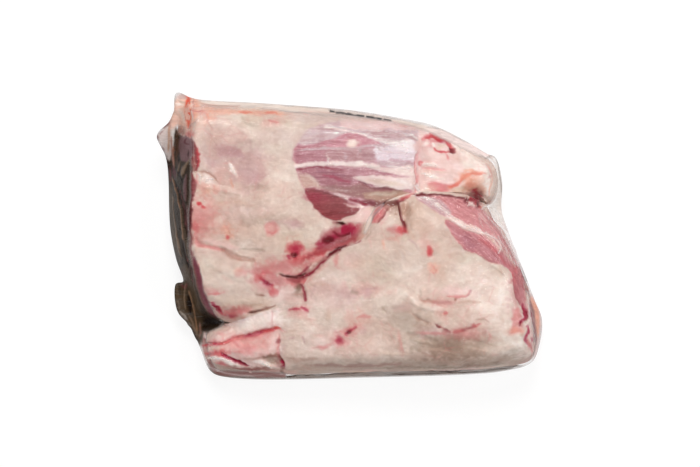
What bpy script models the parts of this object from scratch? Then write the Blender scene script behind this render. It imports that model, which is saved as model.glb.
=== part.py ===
"""Two raw lamb hind shanks, packed head to tail and drawn down tight in a clear vacuum bag.

The bag and what fills it are one closed solid: the upper shank, with its ankle at the right, the lower
shank, with its ankle at the left, and the flange where the bag's two sheets lie against each other.
The frame has +X along the pack, +Z up, and its origin under the middle of the pack, on the table.
Outlines, places and sizes below are millimetres.
"""

import math

import bmesh
import bpy
import numpy as np
from mathutils import Vector
from mathutils.geometry import delaunay_2d_cdt

MM = 0.001

# Triangulation: the spacing of points along an outline and across the top, and where the rows of points
# beside an edge lie: at these angles round the rounding, and this far in from the border.
OUTLINE_STEP = 4.2
GRID_STEP = 4.4
ROLL_ANGLES = (22.0, 38.0, 54.0, 70.0)
BORDER_ROW = 0.7
FLANGE_ROW = 2.5
FLANGE_GRID_STEP = 13.2
CURVE_PIECES = 12
# A row's points stay where they keep this share of their inset, and the grid keeps this share of a step
# clear of the innermost row.
ROW_KEPT = 0.93
GRID_CLEAR = 0.6
WELD_DISTANCE = 1e-5
FOOT_LEVEL = 1e-6
FOOT_ANGLE = 0.001

# Where the two shanks meet, seen from above, from the lower ankle at the left to the upper heel.
BORDER = (
    (-67, -45.5), (-54, -41.5), (-42, -38), (-31, -36), (-26, -31), (-25, -24), (-17.3, -16), (-10.8, -9.4),
    (-2.7, -5), (5.2, -1.2), (9.6, 5), (12, 12), (19, 18), (27, 20.3), (34, 22), (48.5, 22.4), (63.6, 20.3),
    (73, 16.5),
)
# The rest of the upper shank's widest outline, from its heel round to its cut end.
UPPER_FREE = (
    (78, 18), (81.5, 24), (82, 32), (79, 40), (72, 46), (60, 53), (45, 60), (28, 64), (6, 67), (-22, 69),
    (-49, 72), (-74, 73), (-90, 75), (-95, 58), (-97, 36), (-98, 15), (-96, -5), (-92, -22), (-86, -34),
    (-77, -43),
)
# The rest of the lower shank's, from its cut end round to its ankle.
LOWER_FREE = (
    (79, 10), (86, 1), (92.5, -13), (98.5, -29), (102.6, -45), (103, -58), (99, -68), (85, -71.5), (60, -73.5),
    (27, -74), (-6, -75), (-38, -76.5), (-63, -76), (-76, -72), (-80.5, -64), (-81, -56), (-76, -49),
)
# Their centre lines, as x, y and the height of the crown there.
UPPER_SPINE = ((-60, 18, 46), (-25, 28, 47), (15, 40, 46), (45, 38, 40), (68, 33, 33))
LOWER_SPINE = ((-66, -61, 35), (-38, -58, 40), (0, -44, 46), (40, -30, 50), (72, -34, 47))
# How near a place on the centre line must be to count, and how fast the far ones fade.
SPINE_REACH = 6.0
SPINE_FADE = 4

# Edges: how far the rounding reaches in at the top and at the foot, how high the widest line lies as a
# share of the crown, and how full the rounding is: 2 is a quarter circle and 1 a straight bevel.
EDGE = {"top_roll": 13.0, "foot_roll": 11.0, "equator": 0.36, "fullness": 2.0}
# At the border one shank lies over the other's edge, which is tucked this far under it. The lower shank
# is the one on top up to LAP_START, and the upper shank beyond LAP_END.
TUCK = 2.5
LAP_START, LAP_END = 14.0, 24.0
BORDER_WALL = 1.2
BORDER_FOOT_ROLL = 3.0
# How much of the height is already there at the border, and how far in the rest of it takes.
LAP_OVER = {"share": 0.96, "reach": 5.0}
LAP_UNDER = {"share": 0.80, "reach": 16.0}
# At the cut ends the face slopes out from a crisp rim: the x beyond which it does, and its fullness.
UPPER_CUT = {"beyond": -82.0, "towards": -1, "fullness": 1.35}
LOWER_CUT = {"beyond": 84.0, "towards": 1, "fullness": 1.6}
CUT_BLEND = 8.0

# The flange: the bag's own outline where its sheets meet beyond the meat, with the loose ear at the
# top left, the crumpled flap at the bottom left and the pulled corner at the right.
FLANGE_OUTLINE = (
    (-95, 79), (-82, 75), (-49, 73), (-5, 70), (27, 65), (46, 61), (63, 53), (75, 46), (81, 43),
    (84, 30), (84, 14), (88, 0), (94, -16), (101, -34), (106, -46), (104, -60), (99, -70),
    (85, -74), (60, -76), (0, -78), (-42, -79), (-66, -78), (-77, -74.5), (-82.5, -62), (-88.5, -50),
    (-95.4, -41), (-96.6, -27), (-91.6, -24), (-95.9, -12), (-99.2, 5), (-100.2, 30), (-101.4, 44),
    (-105.4, 55), (-99, 62.5), (-96, 70),
)
FLANGE_HEIGHT = 9.0
FLANGE_THICKNESS = 1.6
# Its wave: how high, and the two counts of waves round the pack that make it uneven.
FLANGE_WAVE = 1.2
FLANGE_WAVES = (9, 4)
# Where the flange is drawn up: x, y, reach and rise.
FLANGE_LIFTS = ((-104, 56, 16, 17), (-94, 74, 10, 12), (-94, -34, 14, 6))

# Relief of the tops: x, y, half length, half width, turn in degrees, and rise.
UPPER_BUMPS = (
    (4, 42, 34, 15, -3, 2.8),      # shin muscles standing out of the fat
    (50, 49, 9, 4.5, -18, -3.4),   # socket beside the ankle joint
    (72, 38, 9, 9, -30, 2.6),      # heel bone
    (58, 30, 12, 4, -5, 1.8),      # tendon along the heel
    (67, 20, 5, 4, 30, -5.0),      # hollow behind the heel
    (39, 36, 3.2, 16, 0, -1.5),    # ring cut round the ankle
    (-62, 38, 14, 12, 20, -1.6),   # sunken seam between two muscles under the fat
    (-58, -8, 20, 5, -18, -1.8),   # fold across the fat
    (46, 27, 26, 6, -2, 2.5),      # shin muscles bulging over the lower shank
    (-56, -39, 27, 13, 12, -4.5),  # the cut end falling away to the lower ankle
    (4, 4, 14, 7, 50, 6.5),        # flank pressed up level with the lower shank
)
LOWER_BUMPS = (
    (40, -4, 18, 12, -60, 2.0),    # lobe beside the upper ankle
    (29, 12, 12, 3.2, 82, -4.5),   # crease between the two lobes
    (56, 17, 24, 6, -10, -4.0),    # muscle sunk under the upper ankle
    (12, 10, 9, 6, 40, 1.6),       # the smaller lobe
    (62, -60, 26, 8, 4, -2.0),     # hollow along the bottom of the thigh end
    (-45, -67, 8, 3.4, 10, -3.0),  # pit above the ankle's cut
    (-38, -64, 3.2, 14, 0, -1.6),  # ring cut round the ankle
    (-58, -55, 20, 3.0, 12, -1.8),  # slit along the top of the ankle
    (-63, -66, 12, 2.6, -20, -1.6),  # slit along its side
    (30, -40, 14, 6, -15, 1.4),    # roll of fat
)

FILM_ROUGHNESS = 0.25
FILM_COLOUR = (0.83, 0.66, 0.58, 1.0)


def clear_scene():
    for old in list(bpy.data.objects):
        bpy.data.objects.remove(old)


def smooth_curve(points):
    """Points on a smooth open curve through the given ones."""
    corners = np.array(points, float)
    padded = np.vstack([2 * corners[0] - corners[1], corners, 2 * corners[-1] - corners[-2]])
    before, start, end, beyond = padded[:-3], padded[1:-2], padded[2:-1], padded[3:]
    runs = []
    for t in np.linspace(0, 1, CURVE_PIECES, endpoint=False):
        runs.append(
            0.5 * (2 * start + (end - before) * t
                   + (2 * before - 5 * start + 4 * end - beyond) * t**2
                   + (3 * start - before - 3 * end + beyond) * t**3)
        )
    return np.vstack([np.stack(runs, axis=1).reshape(-1, 2), corners[-1:]])


def evenly(curve, step):
    """An even run of points, about a step apart, from one end of a curve to the other."""
    along = np.concatenate([[0], np.cumsum(np.linalg.norm(np.diff(curve, axis=0), axis=1))])
    places = np.linspace(0, along[-1], round(along[-1] / step) + 1)
    return np.stack([np.interp(places, along, curve[:, i]) for i in (0, 1)], axis=1)


def closed_curve(points, step):
    """An even run of points on a smooth closed curve through the given ones."""
    corners = np.array(points, float)
    wrapped = smooth_curve(np.vstack([corners[-1:], corners, corners[:2]]))
    return evenly(wrapped[CURVE_PIECES:-CURVE_PIECES], step)[:-1]


def distance_to_line(points, line):
    """How far each point lies from an open run of straight stretches."""
    start, run = line[:-1], np.diff(line, axis=0)
    share = ((points[:, None] - start) * run).sum(2) / (run**2).sum(1)
    nearest = start + np.clip(share, 0, 1)[..., None] * run
    return np.linalg.norm(points[:, None] - nearest, axis=2).min(axis=1)


def distance_to_loop(points, loop):
    return distance_to_line(points, np.vstack([loop, loop[:1]]))


def inside_loop(points, loop):
    """True for the points that the closed polygon holds."""
    start, end = loop, np.roll(loop, -1, axis=0)
    x, y = points[:, :1], points[:, 1:]
    spans = (start[:, 1] > y) != (end[:, 1] > y)
    with np.errstate(divide="ignore", invalid="ignore"):
        crossing = start[:, 0] + (y - start[:, 1]) * (end - start)[:, 0] / (end - start)[:, 1]
    return (spans & (x < crossing)).sum(axis=1) % 2 == 1


def inner_points(loop, insets, step):
    """Points inside an outline: rows at the insets, then an even grid of triangles."""
    ahead = np.roll(loop, -1, axis=0) - np.roll(loop, 1, axis=0)
    inward = np.stack([-ahead[:, 1], ahead[:, 0]], axis=1) / np.linalg.norm(ahead, axis=1)[:, None]
    area = (loop[:, 0] * np.roll(loop[:, 1], -1) - loop[:, 1] * np.roll(loop[:, 0], -1)).sum()
    if area < 0:
        inward = -inward
    found = []
    for inset in insets:
        row = loop + inward * inset
        found.append(row[inside_loop(row, loop) & (distance_to_loop(row, loop) > ROW_KEPT * inset)])
    low, high = loop.min(axis=0), loop.max(axis=0)
    rows = np.arange(low[1], high[1], step * math.sqrt(0.75))
    grid = [(x + step / 2 * (i % 2), y) for i, y in enumerate(rows) for x in np.arange(low[0], high[0], step)]
    grid = np.array(grid)
    deep = distance_to_loop(grid, loop) > (max(insets) + GRID_CLEAR * step)
    found.append(grid[inside_loop(grid, loop) & deep])
    return np.vstack(found)


def skin_between(name, loop, inner, top, bottom):
    """A closed mesh over an outline, whose upper and lower skins meet in the outline's own edge."""
    flat = np.vstack([loop, inner])
    rim = len(loop)
    ring = list(range(rim))
    coords, _, faces, _, _, _ = delaunay_2d_cdt([Vector(p) for p in flat], [], [ring], 1, WELD_DISTANCE, True)
    flat = np.array([(c.x, c.y) for c in coords])
    high, low = top(flat), bottom(flat)
    low[:rim] = high[:rim]
    upper = np.column_stack([flat, high])
    lower = np.column_stack([flat[rim:], low[rim:]])
    under = [i if i < rim else i - rim + len(flat) for i in range(len(flat))]
    faces = [f for f in faces if max(f) >= rim]  # a face on the rim alone would be its own underside
    skins = [tuple(f) for f in faces] + [tuple(under[i] for i in reversed(f)) for f in faces]
    mesh = bpy.data.meshes.new(name)
    mesh.from_pydata((np.vstack([upper, lower]) * MM).tolist(), [], skins)
    part = bpy.data.objects.new(name, mesh)
    bpy.context.scene.collection.objects.link(part)
    tidy(mesh)
    return part


def tidy(mesh):
    """Faces outward, and the flat foot as few faces as it needs."""
    shape = bmesh.new()
    shape.from_mesh(mesh)
    bmesh.ops.recalc_face_normals(shape, faces=shape.faces)
    foot = [e for e in shape.edges if all(v.co.z < FOOT_LEVEL for v in e.verts)]
    foot_points = list({v for e in foot for v in e.verts})
    bmesh.ops.dissolve_limit(shape, angle_limit=FOOT_ANGLE, verts=foot_points, edges=foot)
    shape.to_mesh(mesh)
    shape.free()


def crown(points, spine):
    """The height of the crown over each point, from the nearest place on the centre line."""
    line = np.array(spine, float)
    start, run = line[:-1], np.diff(line, axis=0)
    share = ((points[:, None] - start[:, :2]) * run[:, :2]).sum(2) / (run[:, :2] ** 2).sum(1)
    share = np.clip(share, 0, 1)
    nearest = start + share[..., None] * run
    away = np.linalg.norm(points[:, None] - nearest[..., :2], axis=2)
    weight = 1 / (away + SPINE_REACH) ** SPINE_FADE
    return (weight * nearest[..., 2]).sum(1) / weight.sum(1)


def bumps(points, table):
    """The sum of smooth oval rises and hollows."""
    total = np.zeros(len(points))
    for x, y, half_length, half_width, turn, rise in table:
        c, s = math.cos(math.radians(turn)), math.sin(math.radians(turn))
        dx, dy = points[:, 0] - x, points[:, 1] - y
        far = ((dx * c + dy * s) / half_length) ** 2 + ((dy * c - dx * s) / half_width) ** 2
        total += rise * np.exp(-far)
    return total


def roll(depth, radius, fullness=2.0):
    """How far up a rounded edge is at a depth inside the outline, from 0 to 1."""
    return (1 - (1 - np.clip(depth / radius, 0, 1)) ** fullness) ** (1 / fullness)


def fullness_at(points, cut):
    """The edge's fullness at each point: rounder along the flanks, straighter at the cut end."""
    past = (points[:, 0] - cut["beyond"]) * cut["towards"] / CUT_BLEND
    share = np.clip(past + 0.5, 0, 1)
    return EDGE["fullness"] + (cut["fullness"] - EDGE["fullness"]) * share


def upper_on_top(points):
    """1 where the upper shank lies over the lower one's edge, and 0 where the lower lies over it."""
    share = np.clip((points[:, 0] - LAP_START) / (LAP_END - LAP_START), 0, 1)
    return share * share * (3 - 2 * share)


def lower_on_top(points):
    return 1 - upper_on_top(points)


def tucked(border, on_top, towards):
    """The border, moved towards the other shank wherever this one's edge is tucked under it."""
    line = np.array(border, float)
    ahead = np.gradient(line, axis=0)
    across = np.stack([ahead[:, 1], -ahead[:, 0]], axis=1) / np.linalg.norm(ahead, axis=1)[:, None]
    return line + across * (towards * TUCK * (1 - on_top(line)))[:, None]


def shank(name, free, spine, cut, relief, on_top, towards):
    """One shank as it lies in the bag: a crowned top, rounded edges and a flat foot on the table."""
    edge = tucked(BORDER, on_top, towards)
    border = evenly(smooth_curve(edge), OUTLINE_STEP)
    rest = evenly(smooth_curve((edge[-1], *free, edge[0])), OUTLINE_STEP)
    loop = np.vstack([border[:-1], rest[:-1]])
    insets = [EDGE["top_roll"] * (1 - math.cos(math.radians(a))) for a in ROLL_ANGLES]

    def top(points):
        height = crown(points, spine)
        middle = EDGE["equator"] * height
        full = height + bumps(points, relief)
        outer = roll(distance_to_line(points, rest), EDGE["top_roll"], fullness_at(points, cut))
        into, over = distance_to_line(points, border), on_top(points)
        share = LAP_UNDER["share"] + (LAP_OVER["share"] - LAP_UNDER["share"]) * over
        reach = LAP_UNDER["reach"] + (LAP_OVER["reach"] - LAP_UNDER["reach"]) * over
        inner = share * roll(into, BORDER_WALL) + (1 - share) * roll(into, reach)
        return middle + (full - middle) * outer * inner

    def foot(points):
        middle = EDGE["equator"] * crown(points, spine)
        outer = roll(distance_to_line(points, rest), EDGE["foot_roll"])
        inner = roll(distance_to_line(points, border), BORDER_FOOT_ROLL)
        return middle * (1 - outer * inner)

    return skin_between(name, loop, inner_points(loop, (BORDER_ROW, *insets), GRID_STEP), top, foot)


def flange(name):
    """The thin rim of two sheets of film, gently waved, that shows past the meat."""
    loop = closed_curve(FLANGE_OUTLINE, OUTLINE_STEP)

    def middle(points):
        around = np.arctan2(points[:, 1], points[:, 0])
        wave = np.sin(FLANGE_WAVES[0] * around) * np.cos(FLANGE_WAVES[1] * around)
        height = FLANGE_HEIGHT + FLANGE_WAVE * wave
        for x, y, reach, rise in FLANGE_LIFTS:
            away = np.hypot(points[:, 0] - x, points[:, 1] - y)
            height += rise * np.exp(-((away / reach) ** 2))
        return height

    return skin_between(
        name,
        loop,
        inner_points(loop, (FLANGE_ROW,), FLANGE_GRID_STEP),
        lambda points: middle(points) + FLANGE_THICKNESS / 2,
        lambda points: middle(points) - FLANGE_THICKNESS / 2,
    )


def film_material():
    film = bpy.data.materials.new("film_over_meat")
    film.use_nodes = True
    surface = film.node_tree.nodes["Principled BSDF"]
    surface.inputs["Base Color"].default_value = FILM_COLOUR
    surface.inputs["Roughness"].default_value = FILM_ROUGHNESS
    surface.inputs["Metallic"].default_value = 0.0
    return film


def join(body, others):
    """One Boolean union of the body with the other pieces, which are then removed."""
    group = bpy.data.collections.new("joined_pieces")
    bpy.context.scene.collection.children.link(group)
    for other in others:
        group.objects.link(other)
    union = body.modifiers.new("join", "BOOLEAN")
    union.operation = "UNION"
    union.solver = "EXACT"
    union.operand_type = "COLLECTION"
    union.collection = group
    bpy.context.view_layer.update()
    evaluated = body.evaluated_get(bpy.context.evaluated_depsgraph_get())
    joined = bpy.data.meshes.new_from_object(evaluated)
    body.modifiers.clear()
    body.data = joined
    for other in others:
        bpy.data.objects.remove(other)
    bpy.data.collections.remove(group)


def keep_outer_skin(mesh):
    """Fills the hollows that the union sealed, by keeping only the skin that holds all the others."""
    shape = bmesh.new()
    shape.from_mesh(mesh)
    unseen = set(shape.faces)
    skins = []
    while unseen:
        skin, edge_of_search = set(), [unseen.pop()]
        while edge_of_search:
            face = edge_of_search.pop()
            skin.add(face)
            near = {f for e in face.edges for f in e.link_faces} & unseen
            unseen -= near
            edge_of_search += near
        skins.append(skin)
    outer = max(skins, key=len)
    inner = [f for skin in skins if skin is not outer for f in skin]
    bmesh.ops.delete(shape, geom=inner, context="FACES")
    shape.to_mesh(mesh)
    shape.free()


def main():
    clear_scene()
    pack = shank("vacuum_pack", UPPER_FREE, UPPER_SPINE, UPPER_CUT, UPPER_BUMPS, upper_on_top, 1)
    lower = shank("lower_shank", LOWER_FREE, LOWER_SPINE, LOWER_CUT, LOWER_BUMPS, lower_on_top, -1)
    join(pack, [lower, flange("flange")])
    keep_outer_skin(pack.data)
    pack.data.materials.clear()
    pack.data.materials.append(film_material())
    pack.data.shade_smooth()


main()
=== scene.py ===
"""Looks of two raw lamb hind shanks, packed head to tail in a clear vacuum bag and seen from above.

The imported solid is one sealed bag. This script replaces it with what the bag holds and what it is:
the upper shank, the lower shank, and the film that wraps both and runs out into a loose rim.
Shapes are in millimetres until a mesh is made. Marks on the meat are placed in the photograph's pixels.
"""

import itertools
import math

import bpy
import numpy as np
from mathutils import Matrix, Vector
from mathutils.geometry import delaunay_2d_cdt


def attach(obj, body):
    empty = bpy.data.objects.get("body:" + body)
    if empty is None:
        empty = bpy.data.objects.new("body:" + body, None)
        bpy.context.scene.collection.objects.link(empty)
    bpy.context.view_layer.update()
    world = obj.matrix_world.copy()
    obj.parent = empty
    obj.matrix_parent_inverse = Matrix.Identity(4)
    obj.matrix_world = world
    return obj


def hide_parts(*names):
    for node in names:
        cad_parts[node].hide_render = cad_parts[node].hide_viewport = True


MM = 0.001
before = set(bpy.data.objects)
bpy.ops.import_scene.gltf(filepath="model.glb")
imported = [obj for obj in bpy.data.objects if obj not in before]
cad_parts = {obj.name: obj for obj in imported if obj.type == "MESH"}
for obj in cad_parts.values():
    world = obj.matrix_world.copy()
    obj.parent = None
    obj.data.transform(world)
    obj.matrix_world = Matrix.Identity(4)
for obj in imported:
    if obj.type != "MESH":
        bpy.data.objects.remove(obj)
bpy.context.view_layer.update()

# ------------------------------------------------------------------ photograph and camera
PHOTO_SIZE = (700, 467)
MM_PER_PIXEL = 0.55
PIXEL_PLANE = 18.0  # the height at which a pixel measures MM_PER_PIXEL: that of the widest outline
CAMERA_OVER = (0.0, 1.65)
LENS, SENSOR = 100.0, 36.0
CAMERA_AWAY = LENS * PHOTO_SIZE[0] * MM_PER_PIXEL / SENSOR

# ------------------------------------------------------------------ forms, in millimetres
# The border is where the two shanks meet in plan; the free outlines run on from its ends.
BORDER = (
    (-67, -45.5), (-54, -41.5), (-42, -38), (-31, -36), (-26, -31), (-25, -24), (-17.3, -16), (-10.8, -9.4),
    (-2.7, -5), (5.2, -1.2), (9.6, 5), (12, 12), (19, 18), (27, 20.3), (34, 22), (48.5, 22.4), (63.6, 20.3),
    (73, 16.5),
)
UPPER_FREE = (
    (78, 18), (81.5, 24), (82, 32), (79, 40), (72, 46), (60, 53), (45, 60), (28, 64), (6, 67), (-22, 69),
    (-49, 72), (-74, 73), (-90, 75), (-95, 58), (-97, 36), (-98, 15), (-96, -5), (-92, -22), (-86, -34),
    (-77, -43),
)
LOWER_FREE = (
    (79, 10), (86, 1), (92.5, -13), (98.5, -29), (102.6, -45), (103, -58), (99, -68), (85, -71.5),
    (60, -73.5), (27, -74), (-6, -75), (-38, -76.5), (-63, -76), (-76, -72), (-80.5, -64), (-81, -56),
    (-76, -49),
)
UPPER_SPINE = ((-60, 18, 46), (-25, 28, 47), (15, 40, 46), (45, 38, 40), (68, 33, 33))
LOWER_SPINE = ((-66, -61, 35), (-38, -58, 40), (0, -44, 46), (40, -30, 50), (72, -34, 47))
EDGE = {"top_roll": 13.0, "foot_roll": 11.0, "equator": 0.36, "fullness": 2.0}
# At the border one shank lies over the other's edge, which is tucked under it.
TUCK = 2.5
LAP_START, LAP_END = 14.0, 24.0
BORDER_WALL = 1.2
BORDER_FOOT_ROLL = 3.0
LAP_OVER = {"share": 0.96, "reach": 5.0}
LAP_UNDER = {"share": 0.80, "reach": 16.0}
UPPER_CUT = {"beyond": -82.0, "towards": -1, "fullness": 1.35}
LOWER_CUT = {"beyond": 84.0, "towards": 1, "fullness": 1.6}
CUT_BLEND = 8.0
UPPER_BUMPS = (  # x, y, half length, half width, turn, rise
    (4, 42, 34, 15, -3, 2.8),
    (50, 49, 9, 4.5, -18, -3.4),
    (72, 38, 9, 9, -30, 2.6),
    (58, 30, 12, 4, -5, 1.8),
    (67, 20, 5, 4, 30, -5.0),
    (39, 36, 3.2, 16, 0, -1.5),
    (-62, 38, 14, 12, 20, -1.6),
    (-58, -8, 20, 5, -18, -1.8),
    (46, 27, 26, 6, -2, 2.5),
    (-56, -39, 27, 13, 12, -4.5),
    (4, 4, 14, 7, 50, 6.5),
)
LOWER_BUMPS = (
    (40, -4, 18, 12, -60, 2.0),
    (29, 12, 12, 3.2, 82, -4.5),
    (56, 17, 24, 6, -10, -4.0),
    (12, 10, 9, 6, 40, 1.6),
    (62, -60, 26, 8, 4, -2.0),
    (-45, -67, 8, 3.4, 10, -3.0),
    (-38, -64, 3.2, 14, 0, -1.6),
    (-58, -55, 20, 3.0, 12, -1.8),
    (-63, -66, 12, 2.6, -20, -1.6),
    (30, -40, 14, 6, -15, 1.4),
)
FLANGE_OUTLINE = (
    (-95, 79), (-82, 75), (-49, 73), (-5, 70), (27, 65), (46, 61), (63, 53), (75, 46), (81, 43),
    (84, 30), (84, 14), (88, 0), (94, -16), (101, -34), (106, -46), (104, -60), (99, -70),
    (85, -74), (60, -76), (0, -78), (-42, -79), (-66, -78), (-77, -74.5), (-82.5, -62), (-88.5, -50),
    (-95.4, -41), (-96.6, -27), (-91.6, -24), (-95.9, -12), (-99.2, 5), (-100.2, 30), (-101.4, 44),
    (-105.4, 55), (-99, 62.5), (-96, 70),
)
FLANGE_HEIGHT = 9.0
FLANGE_WAVE = 1.2
FLANGE_THICKNESS = 0.5
FLANGE_LIFTS = ((-104, 56, 16, 17), (-94, 74, 10, 12), (-94, -34, 14, 6))

FORM_STEP = 1.7
ROLL_ANGLES = (9.0, 18.0, 27.0, 36.0, 46.0, 58.0, 72.0)
BORDER_ROWS = (0.4, 0.9)
MEAT_VOXEL = 0.62
MEAT_FACES = 190000  # triangles each shank keeps, thinned out on the side it lies on
FILM_ROOM = 0.5  # how far the meat keeps inside the solid, which is the outside of the film
FILM_GAP = 0.3
FILM_STEP = 0.88
FILM_FINE_STEP = 0.55  # where it is gathered, left of FILM_FINE_BEYOND
FILM_FINE_BEYOND = -79.0
FILM_FACES = 190000
GROOVE_FILL = 0.85
FILM_GRID = 0.8
FILM_SLOPE = 3.2
SPREAD_ROUNDS = 24  # rounds in which each height runs down to its neighbours at that slope
BRIDGE_ROUNDS = 14  # rounds in which the film closes over narrow grooves
FILM_ROWS = (0.3, 0.6, 1.0, 1.4, 1.9, 2.5, 3.2, 4.0, 4.9, 5.9)
FLOOR_HALF = 1500.0

# ------------------------------------------------------------------ how marks lie on the forms
MEAT_LOW = (17.0, 21.0)  # the heights between which the marks of the lower edge of the meat fade out
MEAT_SINK = 0.1  # how far the relief of the meat is set back
MOST_RISE = 0.36  # the most that it may stand out, so that it stays under the film
FINE_EDGE = 2.5  # softness in pixels below which a stroke on the meat is blurred a little
SIDE_STAINS = (("cream_light", 16.0, 71), ("pink", 11.0, 72), ("mauve", 8.0, 73), ("tan", 13.0, 74))
LUMP_RISE, WRINKLE_RISE = 0.28, 0.07
# how much painted shade darkens the hollows of the lumps and wrinkles, and painted light lightens their
# crowns
LUMP_PAINTED_SHADE, WRINKLE_PAINTED_SHADE = 0.026, 0.016
PAINTED_SHADE_TINT = (1.0, 1.25, 1.35)  # the painted shade in the hollows of the fat is a little redder, not only darker
FILM_BARE_COVER = 0.003
FILM_UPPER_SKIN = (-1.6, -0.8)  # from the flange, where the marks from above fade in
FILM_WHOLE_BEYOND = (-84.0, -78.0)  # left of this both skins of the film carry marks, not only the upper
FILM_LOW_REACH = (1.5, 4.0)  # over the flange, where the marks of the lower rim fade out

# ------------------------------------------------------------------ colours, as a picture holds them
PALETTE = {
    "fat": (217, 195, 182),
    "cream": (228, 208, 195),
    "cream_light": (238, 219, 207),
    "cream_warm": (223, 196, 176),
    "tan": (208, 176, 158),
    "brown": (158, 112, 98),
    "brown_warm": (188, 150, 130),
    "brown_grey": (170, 146, 131),
    "brown_cold": (144, 124, 108),
    "olive_pale": (212, 198, 180),
    "olive_grey": (178, 160, 144),
    "grey_pink": (212, 190, 182),
    "mauve": (206, 172, 167),
    "mauve_dark": (190, 148, 148),
    "pink_pale": (236, 205, 199),
    "pink": (218, 168, 158),
    "pink_red": (212, 118, 120),
    "white": (250, 240, 232),
    "orange": (238, 160, 134),
    "orange_red": (222, 96, 74),
    "lavender": (208, 180, 183),
    "bluish": (240, 228, 234),
    "muscle": (198, 144, 152),
    "muscle_pink": (210, 140, 144),
    "muscle_mid": (178, 114, 124),
    "muscle_rose": (200, 132, 142),
    "muscle_deep": (136, 66, 70),
    "muscle_red": (152, 62, 68),
    # brown muscle, and painted shade under the muscle of the upper shank, in a hollow at the ankle and along
    # the bottom roll of the lower shank
    "muscle_brown": (150, 100, 94),
    "purple": (152, 90, 108),
    "tendon": (242, 224, 218),
    "red": (200, 70, 76),
    "crimson": (162, 24, 58),
    "blood": (128, 18, 38),
    # dark blood, and painted shade in the seam between the shanks, in the creases and in the hole at the heel
    "blood_dark": (94, 16, 24),
    # painted shade: the black in hollows, creases and slits
    "hollow_black": (56, 14, 12),
    # dark cut meat, and painted shade where the cut end faces away from the light, along the seam and at the
    # foot of the lower shank
    "cut_dark": (70, 34, 28),
    "cut_red": (130, 56, 60),
    "pink_shadow": (234, 198, 192),
    "grey_shadow": (216, 202, 194),
    "muscle_shadow": (196, 140, 140),
    "film_white": (240, 234, 230),
    "film_grey": (200, 190, 184),
    "film_shade": (150, 138, 130),
    "film_pale": (150, 124, 104),
    "film_tan": (184, 136, 104),
    "film_stain": (112, 54, 56),
    "film_olive": (78, 60, 42),
    "film_dark": (46, 32, 21),
    "film_brown": (84, 56, 42),
    "film_black": (26, 14, 10),
    "film_mauve": (126, 92, 96),
    "film_line": (92, 76, 63),
    "film_strip": (204, 195, 189),
    "maroon": (84, 34, 42),
    "wine": (118, 50, 62),
    "peach": (244, 198, 178),
    "shank_brown": (134, 74, 68),
    # painted shade along the lower left edge of the lower shank
    "bruise": (166, 84, 90),
    "rosy_light": (236, 176, 170),
    "rosy_cream": (246, 222, 216),
    "ink": (36, 30, 32),
    "rosy": (204, 128, 128),
}


def linear(values):
    """Picture values, 0 to 1, as linear light."""
    return np.where(values <= 0.04045, values / 12.92, ((values + 0.055) / 1.055) ** 2.4)


def paint_of(name):
    return np.array(PALETTE[name]) / 255.0


# ------------------------------------------------------------------ plane geometry
def pixels_of(points):
    """Where points of the pack, in millimetres, lie in the photograph."""
    nearer = CAMERA_AWAY / (CAMERA_AWAY + PIXEL_PLANE - points[:, 2]) / MM_PER_PIXEL
    x = PHOTO_SIZE[0] / 2 + (points[:, 0] - CAMERA_OVER[0]) * nearer
    y = PHOTO_SIZE[1] / 2 - (points[:, 1] - CAMERA_OVER[1]) * nearer
    return np.stack([x, y], axis=1)


def spline(points, closed, pieces=12):
    """Points on a smooth curve through the given ones."""
    corners = np.array(points, float)
    if closed:
        before, after = np.roll(corners, 1, axis=0), np.roll(corners, -1, axis=0)
        beyond = np.roll(corners, -2, axis=0)
        starts = corners
    else:
        padded = np.vstack([2 * corners[0] - corners[1], corners, 2 * corners[-1] - corners[-2]])
        before, starts, after, beyond = padded[:-3], padded[1:-2], padded[2:-1], padded[3:]
    runs = []
    for t in np.linspace(0, 1, pieces, endpoint=False):
        runs.append(
            0.5 * (2 * starts + (after - before) * t
                   + (2 * before - 5 * starts + 4 * after - beyond) * t**2
                   + (3 * starts - before - 3 * after + beyond) * t**3)
        )
    curve = np.stack(runs, axis=1).reshape(-1, 2)
    return curve if closed else np.vstack([curve, corners[-1:]])


def evenly(curve, step):
    """An even run of points, about a step apart, along an open curve."""
    along = np.concatenate([[0], np.cumsum(np.linalg.norm(np.diff(curve, axis=0), axis=1))])
    count = max(2, round(along[-1] / step))
    places = np.linspace(0, along[-1], count + 1)
    return np.stack([np.interp(places, along, curve[:, i]) for i in (0, 1)], axis=1)


def closed_curve(points, step):
    curve = spline(points, True)
    return evenly(np.vstack([curve, curve[:1]]), step)[:-1]


def distance_to_line(points, line):
    """How far each point lies from a run of straight stretches."""
    nearest = np.full(len(points), np.inf)
    for start, end in zip(line[:-1], line[1:]):
        run = end - start
        share = np.clip(((points - start) @ run) / max(run @ run, 1e-12), 0, 1)
        gap = points - start - share[:, None] * run
        nearest = np.minimum(nearest, gap[:, 0] ** 2 + gap[:, 1] ** 2)
    return np.sqrt(nearest)


def distance_to_loop(points, loop):
    return distance_to_line(points, np.vstack([loop, loop[:1]]))


def inside_loop(points, loop):
    """True for the points that the closed polygon holds."""
    inside = np.zeros(len(points), bool)
    for start, end in zip(loop, np.roll(loop, -1, axis=0)):
        if start[1] == end[1]:
            continue
        spans = (start[1] > points[:, 1]) != (end[1] > points[:, 1])
        crossing = start[0] + (points[:, 1] - start[1]) * (end[0] - start[0]) / (end[1] - start[1])
        inside ^= spans & (points[:, 0] < crossing)
    return inside


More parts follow.
